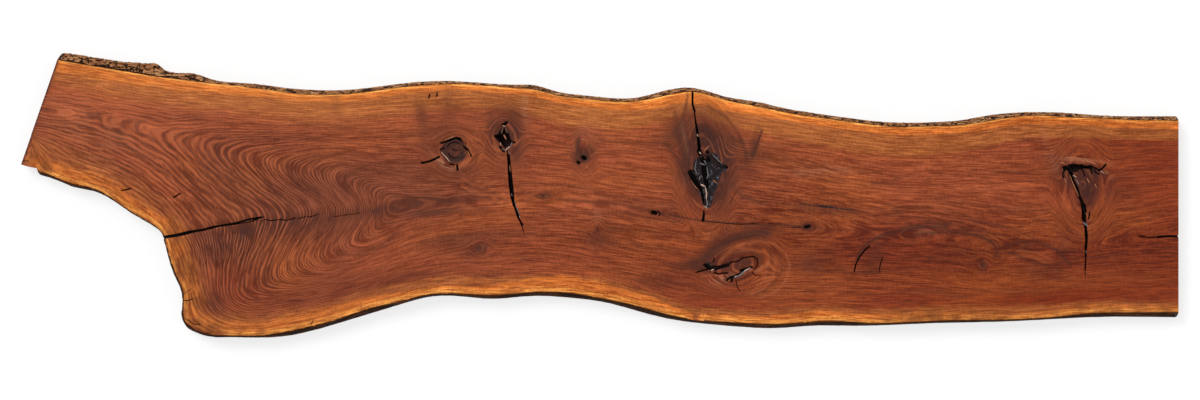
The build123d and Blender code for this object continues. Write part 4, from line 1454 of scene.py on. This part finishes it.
def new_piece(name, mesh):
    """A piece of the plank that moves with it."""
    piece = bpy.data.objects.new(name, mesh)
    bpy.context.scene.collection.objects.link(piece)
    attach(piece, BODY)
    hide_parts(SLAB)
    return piece


# The stage

FLOOR_GLOW, GLOW_SHARE = 1.16, 0.62  # how bright the floor looks by itself, and its share of that
FLOOR_GAP = 0.2 * MM  # how far the floor lies below the slab
WORLD_LIGHT, WORLD_SEEN = 0.6, 1.0  # how strongly the world lights the slab, and how bright it looks
LAMP_STRENGTH, LAMP_WIDTH, LAMP_FROM = 1.55, math.radians(22), (-0.55, 0.6, 1.1)
LENS, SENSOR, VIEW_END = 100, 36, 200  # the camera's lens and sensor in millimetres, and its reach
CAMERA_X, CAMERA_Y = 0.0008, -0.0094


def add_floor(sizes, colours):
    """A plain floor that looks nearly white and keeps the slab's shadow."""
    half = sizes.floor_reach / 2
    mesh = bpy.data.meshes.new("floor")
    corners = [(-half, -half, 0), (half, -half, 0), (half, half, 0), (-half, half, 0)]
    mesh.from_pydata(corners, [], [(0, 1, 2, 3)])
    floor = bpy.data.objects.new("floor", mesh)
    bpy.context.scene.collection.objects.link(floor)
    graph = Graph("pale_floor")
    graph.finish(colours.floor, 0.9, 0.1)
    seen = graph.node("ShaderNodeLightPath")
    by_eye = graph.math("MAXIMUM", seen.outputs["Is Camera Ray"], seen.outputs["Is Glossy Ray"])
    glow = graph.node("ShaderNodeEmission", {"Color": (1.0, 1.0, 1.0), "Strength": FLOOR_GLOW}).outputs[0]
    share = graph.times(by_eye, GLOW_SHARE)
    mixed = graph.node("ShaderNodeMixShader", {0: share, 1: graph.shader.outputs[0], 2: glow}).outputs[0]
    graph.feed(graph.tree.nodes["Material Output"].inputs["Surface"], mixed)
    mesh.materials.append(graph.material)
    floor.location.z = SLAB_LOW.z - FLOOR_GAP


def add_lights():
    """An even pale world, and one broad lamp from the upper left."""
    world = bpy.data.worlds.new("studio")
    bpy.context.scene.world = world
    world.use_nodes = True
    tree = world.node_tree
    background = tree.nodes["Background"]
    background.inputs["Color"].default_value = (1, 1, 1, 1)
    seen = tree.nodes.new("ShaderNodeLightPath")
    strength = tree.nodes.new("ShaderNodeMapRange")
    tree.links.new(seen.outputs["Is Camera Ray"], strength.inputs["Value"])
    strength.inputs["To Min"].default_value = WORLD_LIGHT
    strength.inputs["To Max"].default_value = WORLD_SEEN
    tree.links.new(strength.outputs[0], background.inputs["Strength"])
    lamp = bpy.data.lights.new("broad_lamp", "SUN")
    lamp.energy = LAMP_STRENGTH
    lamp.angle = LAMP_WIDTH
    holder = bpy.data.objects.new("broad_lamp", lamp)
    holder.rotation_euler = Vector(LAMP_FROM).to_track_quat("Z", "Y").to_euler()
    bpy.context.scene.collection.objects.link(holder)


def add_camera(sizes):
    """Looks straight down on the slab's face."""
    lens = bpy.data.cameras.new("camera")
    lens.lens = LENS
    lens.sensor_width = SENSOR
    lens.clip_end = VIEW_END
    camera = bpy.data.objects.new("camera", lens)
    camera.location = (CAMERA_X, CAMERA_Y, SLAB_HIGH.z + sizes.camera_height)
    bpy.context.scene.collection.objects.link(camera)
    bpy.context.scene.camera = camera


class PLANK_OT_stage(bpy.types.Operator):
    """Sets the pale floor, the soft light and the camera above the slab."""

    bl_idname = "plank.stage"
    bl_label = "Set the stage"

    def execute(self, context):
        sizes, colours = context.scene.plank_sizes, context.scene.plank_colours
        add_floor(sizes, colours)
        add_lights()
        add_camera(sizes)
        context.scene.view_settings.view_transform = "Standard"
        return {"FINISHED"}


class PLANK_OT_wood(bpy.types.Operator):
    """Builds the slab's wood, with its figure, checks and natural edges."""

    bl_idname = "plank.wood"
    bl_label = "Build the wood"

    def execute(self, context):
        plank_body(context.scene.plank_sizes, context.scene.plank_colours)
        return {"FINISHED"}


class PLANK_OT_splinters(bpy.types.Operator):
    """Stands the splinters in the knots and checks."""

    bl_idname = "plank.splinters"
    bl_label = "Stand the splinters"

    def execute(self, context):
        mesh = splinter_mesh(context.scene.plank_sizes)
        for tone in SPLINTER_TONES:
            colour = getattr(context.scene.plank_colours, f"splinter_{tone}")
            mesh.materials.append(torn_fibre(f"{tone}_splinters", colour))
        new_piece("splinters", mesh)
        return {"FINISHED"}


class PLANK_OT_bark(bpy.types.Operator):
    """Lays the flaky bark along the upper edge."""

    bl_idname = "plank.bark"
    bl_label = "Lay the bark"

    def execute(self, context):
        bark_strip(context.scene.plank_sizes, context.scene.plank_colours)
        return {"FINISHED"}


OPERATORS = (PLANK_OT_stage, PLANK_OT_wood, PLANK_OT_splinters, PLANK_OT_bark)


class PLANK_PT_panel(bpy.types.Panel):
    """Lists the plank's steps, sizes and colours."""

    bl_idname = "PLANK_PT_panel"
    bl_label = "Live-edge plank"
    bl_space_type = "VIEW_3D"
    bl_region_type = "UI"
    bl_category = "Plank"

    def draw(self, context):
        for operator in OPERATORS:
            self.layout.operator(operator.bl_idname)
        for group in (context.scene.plank_sizes, context.scene.plank_colours):
            for name in group.__annotations__:
                self.layout.prop(group, name)


CLASSES = (PlankSizes, PlankColours, *OPERATORS, PLANK_PT_panel)


def register():
    for each in CLASSES:
        bpy.utils.register_class(each)
    bpy.types.Scene.plank_sizes = PointerProperty(type=PlankSizes)
    bpy.types.Scene.plank_colours = PointerProperty(type=PlankColours)


def unregister():
    del bpy.types.Scene.plank_colours
    del bpy.types.Scene.plank_sizes
    for each in reversed(CLASSES):
        bpy.utils.unregister_class(each)


def main():
    register()
    bpy.ops.plank.stage()
    bpy.ops.plank.wood()
    bpy.ops.plank.splinters()
    bpy.ops.plank.bark()


if __name__ == "__main__":
    main()
